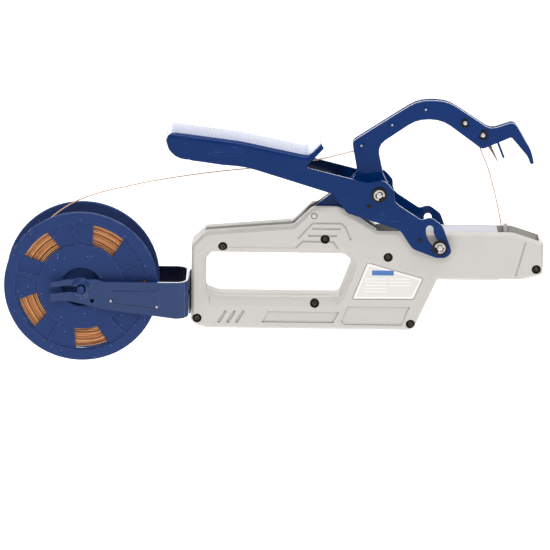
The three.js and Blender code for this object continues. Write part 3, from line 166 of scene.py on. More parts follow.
class Editing:
    """Edit mode on one piece, with nothing selected at the start."""

    def __init__(self, piece, kind="VERT"):
        self.piece = piece
        self.kind = kind

    def __enter__(self):
        pick_up(self.piece)
        bpy.ops.object.mode_set(mode="EDIT")
        bpy.ops.mesh.select_mode(type=self.kind)
        bpy.ops.mesh.select_all(action="DESELECT")
        return self

    def __exit__(self, *problem):
        bpy.ops.object.mode_set(mode="OBJECT")

    def select(self, kind, test):
        """Selects the verts, edges or faces of the mesh that pass a test."""
        bpy.ops.mesh.select_all(action="DESELECT")
        mesh = bmesh.from_edit_mesh(self.piece.data)
        for element in getattr(mesh, kind):
            if test(element):
                element.select_set(True)
        mesh.select_flush_mode()
        bmesh.update_edit_mesh(self.piece.data)

    def whole(self, operator, **settings):
        """Runs an operator on all of the mesh."""
        bpy.ops.mesh.select_all(action="SELECT")
        getattr(bpy.ops.mesh, operator)(**settings)


def modify(piece, kind, **settings):
    """Adds one modifier and applies it."""
    pick_up(piece)
    modifier = piece.modifiers.new(kind.lower(), kind)
    for name, value in settings.items():
        setattr(modifier, name, value)
    bpy.ops.object.modifier_apply(modifier=modifier.name)
    return piece


def chain(name, points):
    """Points in metres joined one after the other, extruded from a single corner."""
    deselect()
    bpy.ops.mesh.primitive_plane_add(size=MM)
    piece = bpy.context.object
    piece.name = name
    with Editing(piece) as edit:
        edit.whole("merge", type="CENTER")
        bpy.ops.mesh.select_all(action="SELECT")
        bpy.ops.transform.translate(value=points[0])
        for before, after in zip(points, points[1:]):
            bpy.ops.mesh.extrude_region_move(TRANSFORM_OT_translate={"value": after - before})
    return piece


def turned(name, profile, place, steps, upright=False):
    """A lathe piece: (radius, height) points in millimetres spun round Y, or Z, through its place."""
    along, across = (Z_WAY, X_WAY) if upright else (Y_WAY, Z_WAY)
    place = mm(*place)
    piece = chain(name, [place + across * (r * MM) + along * (h * MM) for r, h in profile])
    with Editing(piece) as edit:
        edit.whole("spin", steps=steps, angle=TURN, center=place, axis=along)
        edit.whole("remove_doubles", threshold=SAME_PLACE)
        edit.whole("normals_make_consistent", inside=False)
    return piece


def plate(name, outline, near, far):
    """A flat piece: an outline of (x, z) points in millimetres, extruded from y near to y far."""
    points = [mm(x, near, z) for x, z in outline]
    piece = chain(name, points + points[:1])
    with Editing(piece) as edit:
        edit.whole("remove_doubles", threshold=SAME_PLACE)
        edit.whole("edge_face_add")
        bpy.ops.mesh.extrude_region_move(TRANSFORM_OT_translate={"value": mm(0, far - near, 0)})
        edit.whole("normals_make_consistent", inside=False)
    return piece


def block(name, low, high):
    """A box between two corners in millimetres, ready to be shaped."""
    deselect()
    low, high = mm(*low), mm(*high)
    bpy.ops.mesh.primitive_cube_add(size=1, location=(low + high) / 2)
    piece = bpy.context.object
    piece.name = name
    piece.scale = high - low
    bpy.ops.object.transform_apply(location=True, rotation=True, scale=True)
    return piece


def join(pieces, name):
    pick_up(pieces[0])
    for piece in pieces[1:]:
        piece.select_set(True)
    bpy.ops.object.join()
    pieces[0].name = name
    return pieces[0]


def cut(piece, tool, operation="DIFFERENCE"):
    """Takes a tool's shape out of a piece, or adds it, and clears the tool away."""
    modify(piece, "BOOLEAN", object=tool, operation=operation, solver="EXACT")
    bpy.data.objects.remove(tool)
    return piece


def placed(name, mesh):
    """A new piece of the scene, for a mesh of its own."""
    piece = bpy.data.objects.new(name, mesh)
    bpy.context.scene.collection.objects.link(piece)
    return piece


def moved(piece, step, turn=0):
    """Turns a piece's mesh about Y, in degrees, then moves it, in millimetres."""
    piece.data.transform(Matrix.Translation(mm(*step)) @ Matrix.Rotation(math.radians(turn), 4, "Y"))
    return piece


# How far an edge may be rounded: shares of its length and of the room beside it, and sizes in metres

LENGTH_SHARE, ROOM_SHARE = 0.35, 0.3
MARK_STEP = 0.5 * MM
KEEN_CORNER, KEEN_ROOM = 0.27, 0.15 * MM
BACK_TO_BACK = -0.9
TRIALS, FOLD_REACH, FOLD_SHARE = 4, 1.2 * MM, 0.3
ROUNDING = {"segments": 2, "use_clamp_overlap": False}
BY_WEIGHT = {"limit_method": "WEIGHT", "miter_outer": "MITER_SHARP"}
BY_ANGLE = {"limit_method": "ANGLE", "miter_outer": "MITER_ARC"}


def edge_room(mesh, width, angle):
    """How far each sharp edge can be rounded, in metres, before it meets another one."""
    sharp = [
        edge for edge in mesh.edges
        if len(edge.link_faces) == 2 and edge.calc_face_angle(0) > math.radians(angle)
    ]
    marks = []
    for edge in sharp:
        start, end = (vertex.co for vertex in edge.verts)
        steps = max(2, math.ceil((end - start).length / MARK_STEP))
        marks += [(start.lerp(end, i / steps), edge) for i in range(steps + 1)]
    tree = KDTree(len(marks))
    for i, (place, _) in enumerate(marks):
        tree.insert(place, i)
    tree.balance()
    room = {edge: min(width * MM, edge.calc_length() * LENGTH_SHARE) for edge in sharp}
    for place, edge in marks:
        for _, i, distance in tree.find_range(place, room[edge] / ROOM_SHARE):
            other = marks[i][1]
            if not set(edge.verts) & set(other.verts):
                room[edge] = min(room[edge], distance * ROOM_SHARE)
    for vertex in mesh.verts:
        around = [edge for edge in vertex.link_edges if edge in room]
        ways = [(edge.other_vert(vertex).co - vertex.co).normalized() for edge in around]
        keen = any(a.dot(b) > KEEN_CORNER for i, a in enumerate(ways) for b in ways[:i])
        least = min((room[edge] for edge in around), default=0)
        for edge in around:
            if len(around) > 2:
                room[edge] = min(room[edge], least)
            if keen:
                room[edge] = min(room[edge], KEEN_ROOM)
    return room


def folds(piece):
    """Places where two neighbouring faces lie back to back, because a rounding has run over."""
    mesh = bmesh.new()
    mesh.from_mesh(piece.data)
    found = [
        (edge.verts[0].co + edge.verts[1].co) / 2
        for edge in mesh.edges
        if len(edge.link_faces) == 2
        and edge.link_faces[0].normal.dot(edge.link_faces[1].normal) < BACK_TO_BACK
    ]
    mesh.free()
    return found


def weigh_edges(piece, width, angle, most):
    """Gives each sharp edge its share of a rounding, and less where a trial shows it run over."""
    mesh = bmesh.new()
    mesh.from_mesh(piece.data)
    weight = mesh.edges.layers.float.new("bevel_weight_edge")
    for edge, room in edge_room(mesh, width, angle).items():
        edge[weight] = min(room / MM, most(edge) if most else width) / width
    mesh.to_mesh(piece.data)
    for _ in range(TRIALS):
        trial = placed("trial", piece.data.copy())
        modify(trial, "BEVEL", width=width * MM, **ROUNDING, **BY_WEIGHT)
        places = folds(trial)
        bpy.data.objects.remove(trial)
        if not places:
            break
        for edge in mesh.edges:
            start, end = (vertex.co for vertex in edge.verts)
            for place in places:
                share = (place - start).dot(end - start) / max((end - start).length_squared, 1e-12)
                if (start.lerp(end, min(max(share, 0), 1)) - place).length < FOLD_REACH:
                    edge[weight] *= FOLD_SHARE
                    break
        mesh.to_mesh(piece.data)
    mesh.free()


def soften(piece, width, angle=30, fitted=False, most=None):
    """Rounds the sharp edges, in millimetres, and notes their crests for the scuffed edges and painted edge
    highlights of the finishes.

    A fitted rounding is held back wherever other edges are near, and most, where given, says how
    much an edge of the mesh may have.
    """
    piece.data.materials.clear()
    for _ in range(2):
        piece.data.materials.append(None)
    if fitted:
        weigh_edges(piece, width, angle, most)
    limit = BY_WEIGHT if fitted else {**BY_ANGLE, "angle_limit": math.radians(angle)}
    modify(piece, "BEVEL", width=width * MM, material=1, **ROUNDING, **limit)
    bpy.ops.object.shade_smooth_by_angle(angle=SMOOTH_ANGLE)
    modify(piece, "WEIGHTED_NORMAL", weight=80, keep_sharp=True)
    mesh = piece.data
    rounded = [True] * len(mesh.vertices)
    for face in mesh.polygons:
        if face.material_index != 1:
            for vertex in face.vertices:
                rounded[vertex] = False
        face.material_index = 0
    crest = mesh.attributes.new("crest", "FLOAT", "POINT")
    crest.data.foreach_set("value", [float(value) for value in rounded])
    mesh.materials.clear()
    return piece


def cad_copy(node, name):
    """A copy of a CAD node with its corners merged and its flat faces whole again."""
    deselect()
    piece = placed(name, frame["nodes"][node].data.copy())
    piece.data.materials.clear()
    with Editing(piece) as edit:
        bpy.ops.mesh.customdata_custom_splitnormals_clear()
        edit.whole("remove_doubles", threshold=CAD_WELD)
        edit.whole("dissolve_limited", angle_limit=CAD_FLAT)
    return piece


def fit(piece, body, material, slot, replaces=()):
    """Gives a finished piece its finish and its place in the moving part."""
    piece.data.materials.clear()
    piece.data.materials.append(material)
    if body:
        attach(piece, body)
    if replaces:
        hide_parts(*replaces)
    return piece


def dressed(node, material, slot, width=0.4, angle=30, fitted=False, most=None, shape=None):
    """A CAD node remade with rounded edges and its finish, in the same place."""
    piece = cad_copy(node, node + "_finished")
    if shape:
        shape(piece)
    soften(piece, width, angle, fitted=fitted, most=most)
    return fit(piece, BODY_OF[node], material, slot, [node])


# A smooth curve blends its knots in three stages, each between the moments of two of them

CURVE_STEPS = 24
CURVE_SPANS = (((0, 1), (1, 2), (2, 3)), ((0, 2), (1, 3)), ((1, 2),))


def smooth_line(route, count):
    """Evenly spaced points, in metres, on a smooth curve through a route in millimetres."""
    knots = [mm(*point) for point in route]
    knots = [2 * knots[0] - knots[1], *knots, 2 * knots[-1] - knots[-2]]
    fine = []
    for corners in zip(knots, knots[1:], knots[2:], knots[3:]):
        times = [0.0]
        for before, after in zip(corners, corners[1:]):
            times.append(times[-1] + math.sqrt((after - before).length))
        for step in range(CURVE_STEPS):
            now = times[1] + (times[2] - times[1]) * step / CURVE_STEPS
            level = corners
            for spans in CURVE_SPANS:
                level = [
                    before + (after - before) * ((now - times[low]) / (times[high] - times[low]))
                    for before, after, (low, high) in zip(level, level[1:], spans)
                ]
            fine.append(level[0])
    fine.append(knots[-2])
    lengths = [0.0]
    for before, after in zip(fine, fine[1:]):
        lengths.append(lengths[-1] + (after - before).length)
    line, place = [], 0
    for i in range(count + 1):
        target = lengths[-1] * i / count
        while place < len(fine) - 2 and lengths[place + 1] < target:
            place += 1
        span = lengths[place + 1] - lengths[place]
        share = (target - lengths[place]) / span if span else 0
        line.append(fine[place].lerp(fine[place + 1], min(max(share, 0), 1)))
    return line


def tube(name, points, radius, sides=12):
    """A closed tube along points in metres, with a UV map in metres along it and turns round it."""
    mesh = bmesh.new()
    layer = mesh.loops.layers.uv.new("along")
    tangents = [
        (points[min(i + 1, len(points) - 1)] - points[max(i - 1, 0)]).normalized()
        for i in range(len(points))
    ]
    side = tangents[0].orthogonal().normalized()
    rings, runs = [], [0.0]
    for i, (point, tangent) in enumerate(zip(points, tangents)):
        side = (side - tangent * side.dot(tangent)).normalized()
        other = tangent.cross(side)
        ring = []
        for k in range(sides):
            angle = TURN * k / sides
            out = (side * math.cos(angle) + other * math.sin(angle)) * radius * MM
            ring.append(mesh.verts.new(point + out))
        rings.append(ring)
        if i:
            runs.append(runs[-1] + (point - points[i - 1]).length)
    for i in range(len(rings) - 1):
        for k in range(sides):
            corners = ((i, k), (i, k + 1), (i + 1, k + 1), (i + 1, k))
            face = mesh.faces.new([rings[ring][turn % sides] for ring, turn in corners])
            face.smooth = True
            for loop, (ring, turn) in zip(face.loops, corners):
                loop[layer].uv = (runs[ring], turn / sides)
    mesh.faces.new(list(reversed(rings[0])))
    mesh.faces.new(rings[-1])
    data = bpy.data.meshes.new(name)
    mesh.to_mesh(data)
    mesh.free()
    return placed(name, data)


# Finishes: shared effects first, then one material for each finish of the tool

MIX_SHARE, MIX_FIRST, MIX_SECOND, MIX_RESULT = 0, 6, 7, 2


def colour(red, green, blue):
    """A colour given as it is seen, 0 to 255, turned into linear light."""
    linear = []
    for value in (red, green, blue):
        share = value / 255
        linear.append(share / 12.92 if share <= 0.04045 else ((share + 0.055) / 1.055) ** 2.4)
    return (*linear, 1)


def darker(tone, share):
    return (*(value * share for value in tone[:3]), 1)


class Wiring:
    """Adds nodes to a node tree and wires them as they are added."""

    def __init__(self, tree):
        self.tree = tree

    def feed(self, socket, value):
        if isinstance(value, bpy.types.NodeSocket):
            self.tree.links.new(value, socket)
        else:
            socket.default_value = value

    def add(self, kind, settings=None, inputs=None):
        node = self.tree.nodes.new("ShaderNode" + kind)
        for name, value in (settings or {}).items():
            setattr(node, name, value)
        for name, value in (inputs or {}).items():
            self.feed(node.inputs[name], value)
        return node

    def sum(self, operation, first, second=0.0, third=0.0, clamp=False):
        node = self.add("Math", {"operation": operation, "use_clamp": clamp})
        for socket, value in zip(node.inputs, (first, second, third)):
            self.feed(socket, value)
        return node.outputs[0]

    plus = partialmethod(sum, "ADD")
    minus = partialmethod(sum, "SUBTRACT")
    times = partialmethod(sum, "MULTIPLY")
    scaled = partialmethod(sum, "MULTIPLY_ADD")
    under = partialmethod(sum, "LESS_THAN")
    over = partialmethod(sum, "GREATER_THAN")
    most = partialmethod(sum, "MAXIMUM")

    def mix(self, share, first, second):
        node = self.add("Mix", {"data_type": "RGBA"})
        for socket, value in ((MIX_SHARE, share), (MIX_FIRST, first), (MIX_SECOND, second)):
            self.feed(node.inputs[socket], value)
        return node.outputs[MIX_RESULT]

    def parts(self, kind="TexCoord", output="Object"):
        """The X, Y and Z of a place on the piece, or of another vector."""
        return self.add("SeparateXYZ", inputs={"Vector": self.add(kind).outputs[output]}).outputs

    def place(self, stretch=(1, 1, 1), turn=(0, 0, 0)):
        """Coordinates of the piece, turned and stretched."""
        vector, turn = self.add("TexCoord").outputs["Object"], [math.radians(angle) for angle in turn]
        return self.add("Mapping", inputs={"Vector": vector, "Rotation": turn, "Scale": stretch}).outputs[0]

    def noise(self, scale, detail=2.0, vector=None, roughness=0.5):
        node = self.add("TexNoise", inputs={"Scale": scale, "Detail": detail, "Roughness": roughness})
        self.feed(node.inputs["Vector"], vector or self.place())
        return node.outputs[0]

    def use(self, group, *values):
        """Places a shared effect with its own values and returns its outputs."""
        node = self.add("Group", {"node_tree": group})
        for socket, value in zip(node.inputs, values):
            self.feed(socket, value)
        return node.outputs


def effect(*inputs):
    """Turns the function below it into a shader node group with named number inputs."""
    def build(wire):
        tree = bpy.data.node_groups.new(wire.__name__.replace("_", " "), "ShaderNodeTree")
        for label in inputs:
            tree.interface.new_socket(label, in_out="INPUT", socket_type="NodeSocketFloat")
        given = tree.nodes.new("NodeGroupInput").outputs
        made = wire(Wiring(tree), *(given[label] for label in inputs))
        for label in made:
            tree.interface.new_socket(label, in_out="OUTPUT", socket_type="NodeSocketFloat")
        wanted = tree.nodes.new("NodeGroupOutput").inputs
        for label, socket in made.items():
            tree.links.new(socket, wanted[label])
        return tree

    return build


@effect("Scale", "Amount")
def worn_edge(net, scale, amount):
    """Follows the crests of rounded edges and breaks them up, for scuffed edges and for painted edge
    highlights.
    """
    crest = net.add("Attribute", {"attribute_name": "crest"}).outputs["Fac"]
    patches = net.noise(scale, 4.0, roughness=0.65)
    return {"Mask": net.times(net.minus(net.times(crest, amount), patches), 7.0, clamp=True)}


@effect("Scale", "Depth")
def moulded_grain(net, scale, depth):
    """The fine even grain of an etched mould, with its height in metres."""
    fine = net.noise(scale, 3.0)
    return {"Height": net.times(fine, depth), "Mask": fine}


@effect("Scale", "Contrast")
def handling(net, scale, contrast):
    """Broad soft patches, from skin oil and wiping."""
    broad = net.noise(scale, 3.0, roughness=0.6)
    return {"Mask": net.scaled(net.minus(broad, 0.5), contrast, 0.5, clamp=True)}


@effect("Scale", "Size", "Share")
def pale_specks(net, scale, size, share):
    """Small pale specks scattered through a moulding."""
    cells = net.add("TexVoronoi", inputs={"Vector": net.place(), "Scale": scale}).outputs
    pick = net.add("SeparateColor", inputs={"Color": cells["Color"]})
    return {"Mask": net.times(net.under(cells["Distance"], size), net.under(pick.outputs[0], share))}


@effect("Scale", "Depth")
def brushing(net, scale, depth):
    """Long fine strokes from a belt, along the tool."""
    strokes = net.noise(scale, 3.0, net.place(stretch=(0.03, 1, 1)))
    return {"Height": net.times(strokes, depth), "Mask": strokes}


@effect("Width")
def hair_scratches(net, width):
    """Hair scratches in two directions, from use and storage."""
    marks = []
    for turn in (25, -50):
        lines = net.noise(420.0, 1.0, net.place(stretch=(0.06, 1, 1), turn=(0, turn, turn / 2)))
        marks.append(net.under(net.sum("ABSOLUTE", net.minus(lines, 0.5)), width))
    breaks = net.over(net.noise(45.0, 2.0), 0.56)
    return {"Mask": net.times(net.times(net.plus(*marks, clamp=True), breaks), 0.4)}


@effect("Half", "Limit")
def inner_side(net, half, limit):
    """Painted shade on the faces of a folded sheet that look into the fold, where little light gets in."""
    spot, normal = net.parts(), net.parts("NewGeometry", "Normal")
    walls = net.under(net.times(spot["Y"], normal["Y"]), -0.0015)
    roof = net.under(normal["Z"], -0.6)
    narrow = net.under(net.sum("ABSOLUTE", spot["Y"]), half)
    bend = net.times(narrow, net.under(normal["X"], -0.3))
    inside = net.most(net.most(walls, roof), bend)
    before = net.times(net.minus(limit, spot["X"]), 80.0, clamp=True)
    return {"Mask": net.times(inside, before)}


@effect("Reach", "Amount")
def crevice_dirt(net, reach, amount):
    """Painted shade in grooves, seams and corners, within a reach in metres."""
    room = net.add("AmbientOcclusion", {"samples": 6}, {"Distance": reach}).outputs["AO"]
    closed = net.times(net.minus(1.0, room), amount)
    return {"Mask": net.times(closed, closed, clamp=True)}


@effect("Amount")
def settled_dust(net, amount):
    """Fine dust on faces that look up."""
    upward = net.times(net.parts("NewGeometry", "Normal")["Z"], amount, clamp=True)
    return {"Mask": net.times(upward, net.noise(180.0, 5.0, roughness=0.7))}


# Effects that only lay a tone over the look, in the order that they are laid: specks, scratches and dust,
# then painted shade inside folds and in crevices

TONED = {
    "specks": pale_specks, "scratch": hair_scratches, "dust": settled_dust, "inner": inner_side,
    "crevice": crevice_dirt,
}


def finish(
    name, base, roughness, metal=0.0, shine=0.5, patch=0.8, patch_scale=28.0, depth=0.86, uneven=0.12,
    grain_shade=0.1, wear_scale=300.0, shader=(), **extras
):
    """One finish. Extras turn on effects that the real surface shows, and some that paint shade and
    highlights into its colour.
    """
    material = bpy.data.materials.new(name)
    material.use_nodes = True
    material.diffuse_color = base
    material.node_tree.nodes.clear()
    net = Wiring(material.node_tree)
    basics = {"Specular IOR Level": shine, "Metallic": metal, **dict(shader)}
    surface = net.add("BsdfPrincipled", inputs=basics)
    net.add("OutputMaterial", inputs={"Surface": surface.outputs[0]})

    patches = net.use(handling, patch_scale, patch)["Mask"]
    deep = darker(base, depth)
    look = net.mix(patches, base, deep)
    dull = net.scaled(patches, uneven, roughness)
    heights = []
    if "grain" in extras:
        grain = net.use(moulded_grain, *extras["grain"])
        heights.append(grain["Height"])
        look = net.mix(net.times(grain["Mask"], grain_shade), look, darker(base, 0.55))
    if "brush" in extras:
        strokes = net.use(brushing, *extras["brush"])
        heights.append(strokes["Height"])
        dull = net.scaled(strokes["Mask"], 0.18, dull)
        look = net.mix(net.times(strokes["Mask"], 0.35), look, deep)
    for kind, group in TONED.items():
        if kind in extras:
            *values, tone = extras[kind]
            mask = net.use(group, *values)["Mask"]
            look = net.mix(mask, look, tone)
            if kind == "scratch":
                dull = net.scaled(mask, 0.5, dull)
    # Edge tone: scuffing on most finishes, a painted highlight along the crests on the hook.
    if "wear" in extras:
        amount, tone, bare = extras["wear"]
        worn_and_lit = net.use(worn_edge, wear_scale, amount)["Mask"]
        look = net.mix(worn_and_lit, look, tone)
        if bare:
            net.feed(surface.inputs["Metallic"], net.most(worn_and_lit, metal))
    if "print" in extras:
        look = extras["print"](net, look)
    if "twist" in extras:
        look, height = extras["twist"](net, look)
        heights.append(height)
    net.feed(surface.inputs["Base Color"], look)
    net.feed(surface.inputs["Roughness"], net.most(dull, 0.05, clamp=True))
    if heights:
        bump = net.add("Bump", inputs={"Height": reduce(net.plus, heights), "Distance": 1.0, "Strength": 1.0})
        net.feed(surface.inputs["Normal"], bump.outputs[0])
    return material


def paper_twist(net, look):
    """Paper strip wound round the wire: a slanting seam, fibres and paler ridges."""
    run = net.parts(output="UV")
    slant = net.sum("FRACT", net.plus(net.times(run["X"], 620.0), run["Y"]))
    fibres = net.noise(1800.0, 4.0, net.place(stretch=(1, 1, 0.4)))
    toned = net.mix(net.times(net.under(slant, 0.12), 0.22), look, colour(150, 104, 66))
    toned = net.mix(net.times(fibres, 0.2), toned, colour(236, 206, 170))
    return toned, net.times(net.sum("PINGPONG", slant, 0.5), 6e-5)


def strand_tones(net, look):
    """Painted light on the layers of wire in the reel: some layers get dark painted shade, like gaps between
    them, and others a painted highlight.
    """
    spot = net.parts()
    x, z = (net.minus(spot[way], place * MM) for way, place in zip("XZ", REEL_CENTRE))
    radius = net.sum("SQRT", net.scaled(x, x, net.times(z, z)))
    bend = net.scaled(net.noise(60.0, 1.0), 0.0022, radius)
    layers = net.add("CombineXYZ", inputs={"X": net.times(bend, 820.0)})
    tone = net.noise(1.0, 1.0, layers.outputs[0])
    # Dark painted shade for the gaps, then a pale painted highlight on the brighter layers.
    dark = net.times(net.minus(0.49, tone), 9.0, clamp=True)
    pale = net.times(net.minus(tone, 0.53), 8.0, clamp=True)
    look = net.mix(net.times(dark, 0.86), look, colour(74, 36, 18))
    look = net.mix(net.times(pale, 0.85), look, colour(255, 204, 142))
    return look, net.times(tone, 2e-5)


# The label's corners and its printed areas, as (x, z) in metres

LABEL_CORNERS = ((0.0655, 0.0508), (0.0549, 0.0231), (0.099, 0.0234), (0.1058, 0.0393))
LABEL_BAR = ((0.069, 0.0412), (0.0845, 0.0449))
LABEL_COLUMNS = (((0.064, 0.0272), (0.0795, 0.0392)), ((0.0815, 0.0324), (0.0965, 0.0392)))
LABEL_ROW, ROW_SHARE = 0.0024, 0.22
BORDER_INSET, BORDER_HALF = 0.0016, 0.0002
LABEL_WHITE = colour(252, 251, 248)


def label_print(net, look):
    """A white border strip, a plain blue bar and faint ruled lines, with no words or signs."""
    spot = net.parts()
    x, z = spot["X"], spot["Z"]
    depth = 1.0
    for start, end in zip(LABEL_CORNERS, LABEL_CORNERS[1:] + LABEL_CORNERS[:1]):
        length = math.dist(start, end)
        across, up = (start[1] - end[1]) / length, (end[0] - start[0]) / length
        level = net.scaled(x, across, -across * start[0] - up * start[1])
        depth = net.sum("MINIMUM", net.scaled(z, up, level), depth)
    look = net.mix(net.sum("COMPARE", depth, BORDER_INSET, BORDER_HALF), look, LABEL_WHITE)

    def patch(low, high):
        inside = net.times(net.over(x, low[0]), net.under(x, high[0]))
        inside = net.times(inside, net.over(z, low[1]))
        return net.times(inside, net.under(z, high[1]))

    look = net.mix(patch(*LABEL_BAR), look, colour(70, 112, 172))
    rows = net.sum("FRACT", net.times(z, 1 / LABEL_ROW))
    columns = net.plus(*(patch(*column) for column in LABEL_COLUMNS))
    rule = net.times(net.under(rows, ROW_SHARE), columns)
    return net.mix(net.times(rule, 0.5), look, LABEL_WHITE)


# The housing's crevice tone is painted shade in grooves, seams and corners.
GREY_PLASTIC = finish(
    "grey moulded housing", colour(193, 190, 185), 0.5, shine=0.3,
    grain=(2600.0, 12e-6), grain_shade=0.06, depth=0.93, patch=0.7, uneven=0.1,
    wear=(0.6, colour(212, 210, 206), False), scratch=(0.004, colour(168, 166, 162)),
    dust=(0.12, colour(184, 176, 160)), crevice=(0.0022, 1.5, colour(44, 32, 26)),
)
ENAMEL = {
    "roughness": 0.22, "shine": 0.05, "grain": (520.0, 5e-6), "grain_shade": 0.04, "depth": 0.84,
    "uneven": 0.08, "scratch": (0.003, colour(50, 84, 140)), "dust": (0.03, colour(120, 122, 124)),
    "shader": {"Coat Weight": 0.16, "Coat Roughness": 0.05},
}
# The lever's inner tone is painted shade on the faces inside its folded channel.
LEVER_ENAMEL = finish(
    "glossy blue enamel", colour(2, 42, 98), **ENAMEL,
    wear=(0.34, colour(60, 92, 146), False), inner=(0.0, 0.056, colour(4, 20, 52)),
)
# The hook's pale edge tone is a painted highlight along the rounded crests of its plates.
HOOK_ENAMEL = finish(
    "glossy blue hook enamel", colour(2, 44, 102), **ENAMEL,
    wear=(0.54, colour(206, 214, 230), False), wear_scale=14.0,
)
# The bracket's inner tone is painted shade inside its bend, its crevice tone painted shade in seams and
# corners, and its pale edge tone partly scuffing, partly a painted highlight.
BRACKET_ENAMEL = finish(
    "satin slate blue enamel", colour(12, 46, 97), 0.28, shine=0.1,
    grain=(640.0, 8e-6), grain_shade=0.06, depth=0.84, uneven=0.14,
    wear=(0.7, colour(88, 112, 156), False), scratch=(0.004, colour(70, 96, 146)),
    dust=(0.06, colour(128, 130, 134)), inner=(0.0192, 1.0, colour(3, 8, 32)),
    crevice=(0.003, 1.4, colour(4, 12, 40)), shader={"Coat Weight": 0.5, "Coat Roughness": 0.08},
)
# The reel's crevice tone is painted shade in its grooves, recesses and corners.
REEL_PLASTIC = finish(
    "speckled blue reel plastic", colour(34, 56, 106), 0.44, shine=0.14,
    grain=(1500.0, 14e-6), grain_shade=0.08, patch_scale=18.0,
    specks=(420.0, 0.14, 0.14, colour(118, 134, 176)), wear=(0.66, colour(84, 104, 152), False),
    dust=(0.08, colour(120, 124, 136)), crevice=(0.0025, 0.9, colour(6, 12, 44)),
)
BLACK_OXIDE = finish(
    "black oxide steel", colour(30, 28, 27), 0.38, metal=0.7, grain=(1800.0, 6e-6), depth=0.7,
    wear=(0.6, colour(120, 116, 112), True),
)
# The screws' bright edge tone is partly bare rubbed metal on the cross recess, partly a painted glint.
SCREW_STEEL = finish(
    "blackened screw steel", colour(24, 21, 19), 0.34, metal=0.6, grain=(1800.0, 6e-6), depth=0.7,
    wear=(0.84, colour(206, 172, 138), True), wear_scale=420.0,
)
BRIGHT_STEEL = finish(
    "bright zinc steel", colour(206, 203, 197), 0.24, metal=1.0, brush=(1400.0, 3e-6), depth=0.72,
    uneven=0.16, dust=(0.12, colour(150, 140, 124)),
)
PRONG_STEEL = finish(
    "polished prong steel", colour(232, 231, 230), 0.42, metal=0.4, brush=(1400.0, 3e-6), depth=0.8,
)
COVER_STEEL = finish(
    "pale lavender steel sheet", colour(174, 174, 182), 0.46, metal=0.3, brush=(900.0, 4e-6),
    uneven=0.14, wear=(0.5, colour(226, 224, 222), False),
)
BRONZE_STEEL = finish(
    "dark bronzed steel", colour(128, 106, 82), 0.34, metal=0.9, grain=(1500.0, 6e-6), depth=0.6,
    wear=(0.6, colour(190, 170, 140), True),
)
SPRING_STEEL = finish(
    "tempered spring wire", colour(146, 134, 118), 0.3, metal=0.95, grain=(2200.0, 4e-6), depth=0.6,
    patch=1.4,
)
WIRE_PAPER = finish(
    "pale paper wire", colour(204, 176, 156), 0.6, shine=0.2, patch=1.2, patch_scale=70.0,
    twist=paper_twist,
)
WIRE_STACK = finish(
    "copper tan wound wire", colour(206, 130, 72), 0.42, depth=0.74, patch=1.8, patch_scale=110.0,
    grain=(1400.0, 1e-5), grain_shade=0.2, twist=strand_tones,
)
# The wire heart is dark brown as painted shade, so it shows as dark gaps between the stacked strands in the
# windows.
WIRE_SHADE = finish(
    "brown wire heart", colour(84, 50, 30), 0.8, shine=0.1, depth=0.6, patch=1.4, grain=(900.0, 2e-5),
)
PAD_RUBBER = finish(
    "black rubber pad", colour(26, 26, 27), 0.78, shine=0.3, grain=(1700.0, 2e-5), depth=0.7,
    dust=(0.3, colour(90, 88, 84)),
)
SWITCH_PLASTIC = finish(
    "black switch plastic", colour(28, 28, 30), 0.45, grain=(2600.0, 8e-6), depth=0.7,
    wear=(0.5, colour(70, 70, 74), False),
)
NYLON = finish(
    "natural nylon", colour(226, 220, 206), 0.42, grain=(1800.0, 8e-6), depth=0.9,
    shader={"Subsurface Weight": 0.1, "Subsurface Radius": (0.002, 0.0016, 0.001)},
)
LABEL_FILM = finish(
    "bare satin label", colour(214, 211, 206), 0.42, shine=0.35, depth=0.95, print=label_print,
    scratch=(0.004, colour(190, 190, 192)),
)
BOARD_LACQUER = finish(
    "green board lacquer", colour(34, 92, 56), 0.3, grain=(900.0, 1e-5), depth=0.75,
    specks=(600.0, 0.16, 0.3, colour(190, 176, 120)),
)
CELL_SLEEVE = finish(
    "blue cell sleeve", colour(52, 98, 160), 0.28, grain=(420.0, 1e-5), depth=0.8,
    wear=(0.5, colour(110, 140, 190), False),
)
MOTOR_CAN = finish(
    "plated motor can", colour(176, 178, 182), 0.26, metal=1.0, brush=(1200.0, 3e-6), depth=0.75,
    wear=(0.6, colour(220, 220, 222), False),
)

# The wire from the reel to the nose, which leaves the reel and is held again at the twister


def lay_wire(name, route, count, node, *bodies):
    points = smooth_line(route, count)
    piece = tube(name, points, WIRE_RADIUS)
    fit(piece, bodies[0] if len(bodies) == 1 else None, WIRE_PAPER, "paper_wire", [node])
    if len(bodies) == 2:
        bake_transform(piece)


lay_wire("feed_wire", FEED_ROUTE, 120, "wire_feed", "housing", "hook_arm")
lay_wire("hook_wire", ARM_ROUTE, 90, "wire_in_hook", "hook_arm")
lay_wire("tail_wire", TAIL_ROUTE, 50, "wire_tail", "hook_arm", "housing")

# Floor and lights: name, place and aim in millimetres, size in metres, power in watts

FLOOR_HEIGHT, FLOOR_SIZE = -200, 16
FLOOR_GLOW, ROOM_LIGHT = 0.62, 0.35
WHITE = (1, 1, 1, 1)
LIGHTS = (
    ("key_light", (150, -1400, 1400), (0, 0, 60), (1.1, 0.8), 13),
    ("top_light", (100, 60, 1350), (40, 0, 60), (1.5, 0.5), 18),
    ("fill_light", (-1500, -1300, 600), (0, 0, 60), (0.9, 0.9), 3),
    ("rear_fill", (-500, 1500, 1300), (0, 0, 60), (1.1, 0.8), 7),
    ("rear_screen", (0, 2200, 380), (0, 0, 90), (3.2, 1.1), 52),
)


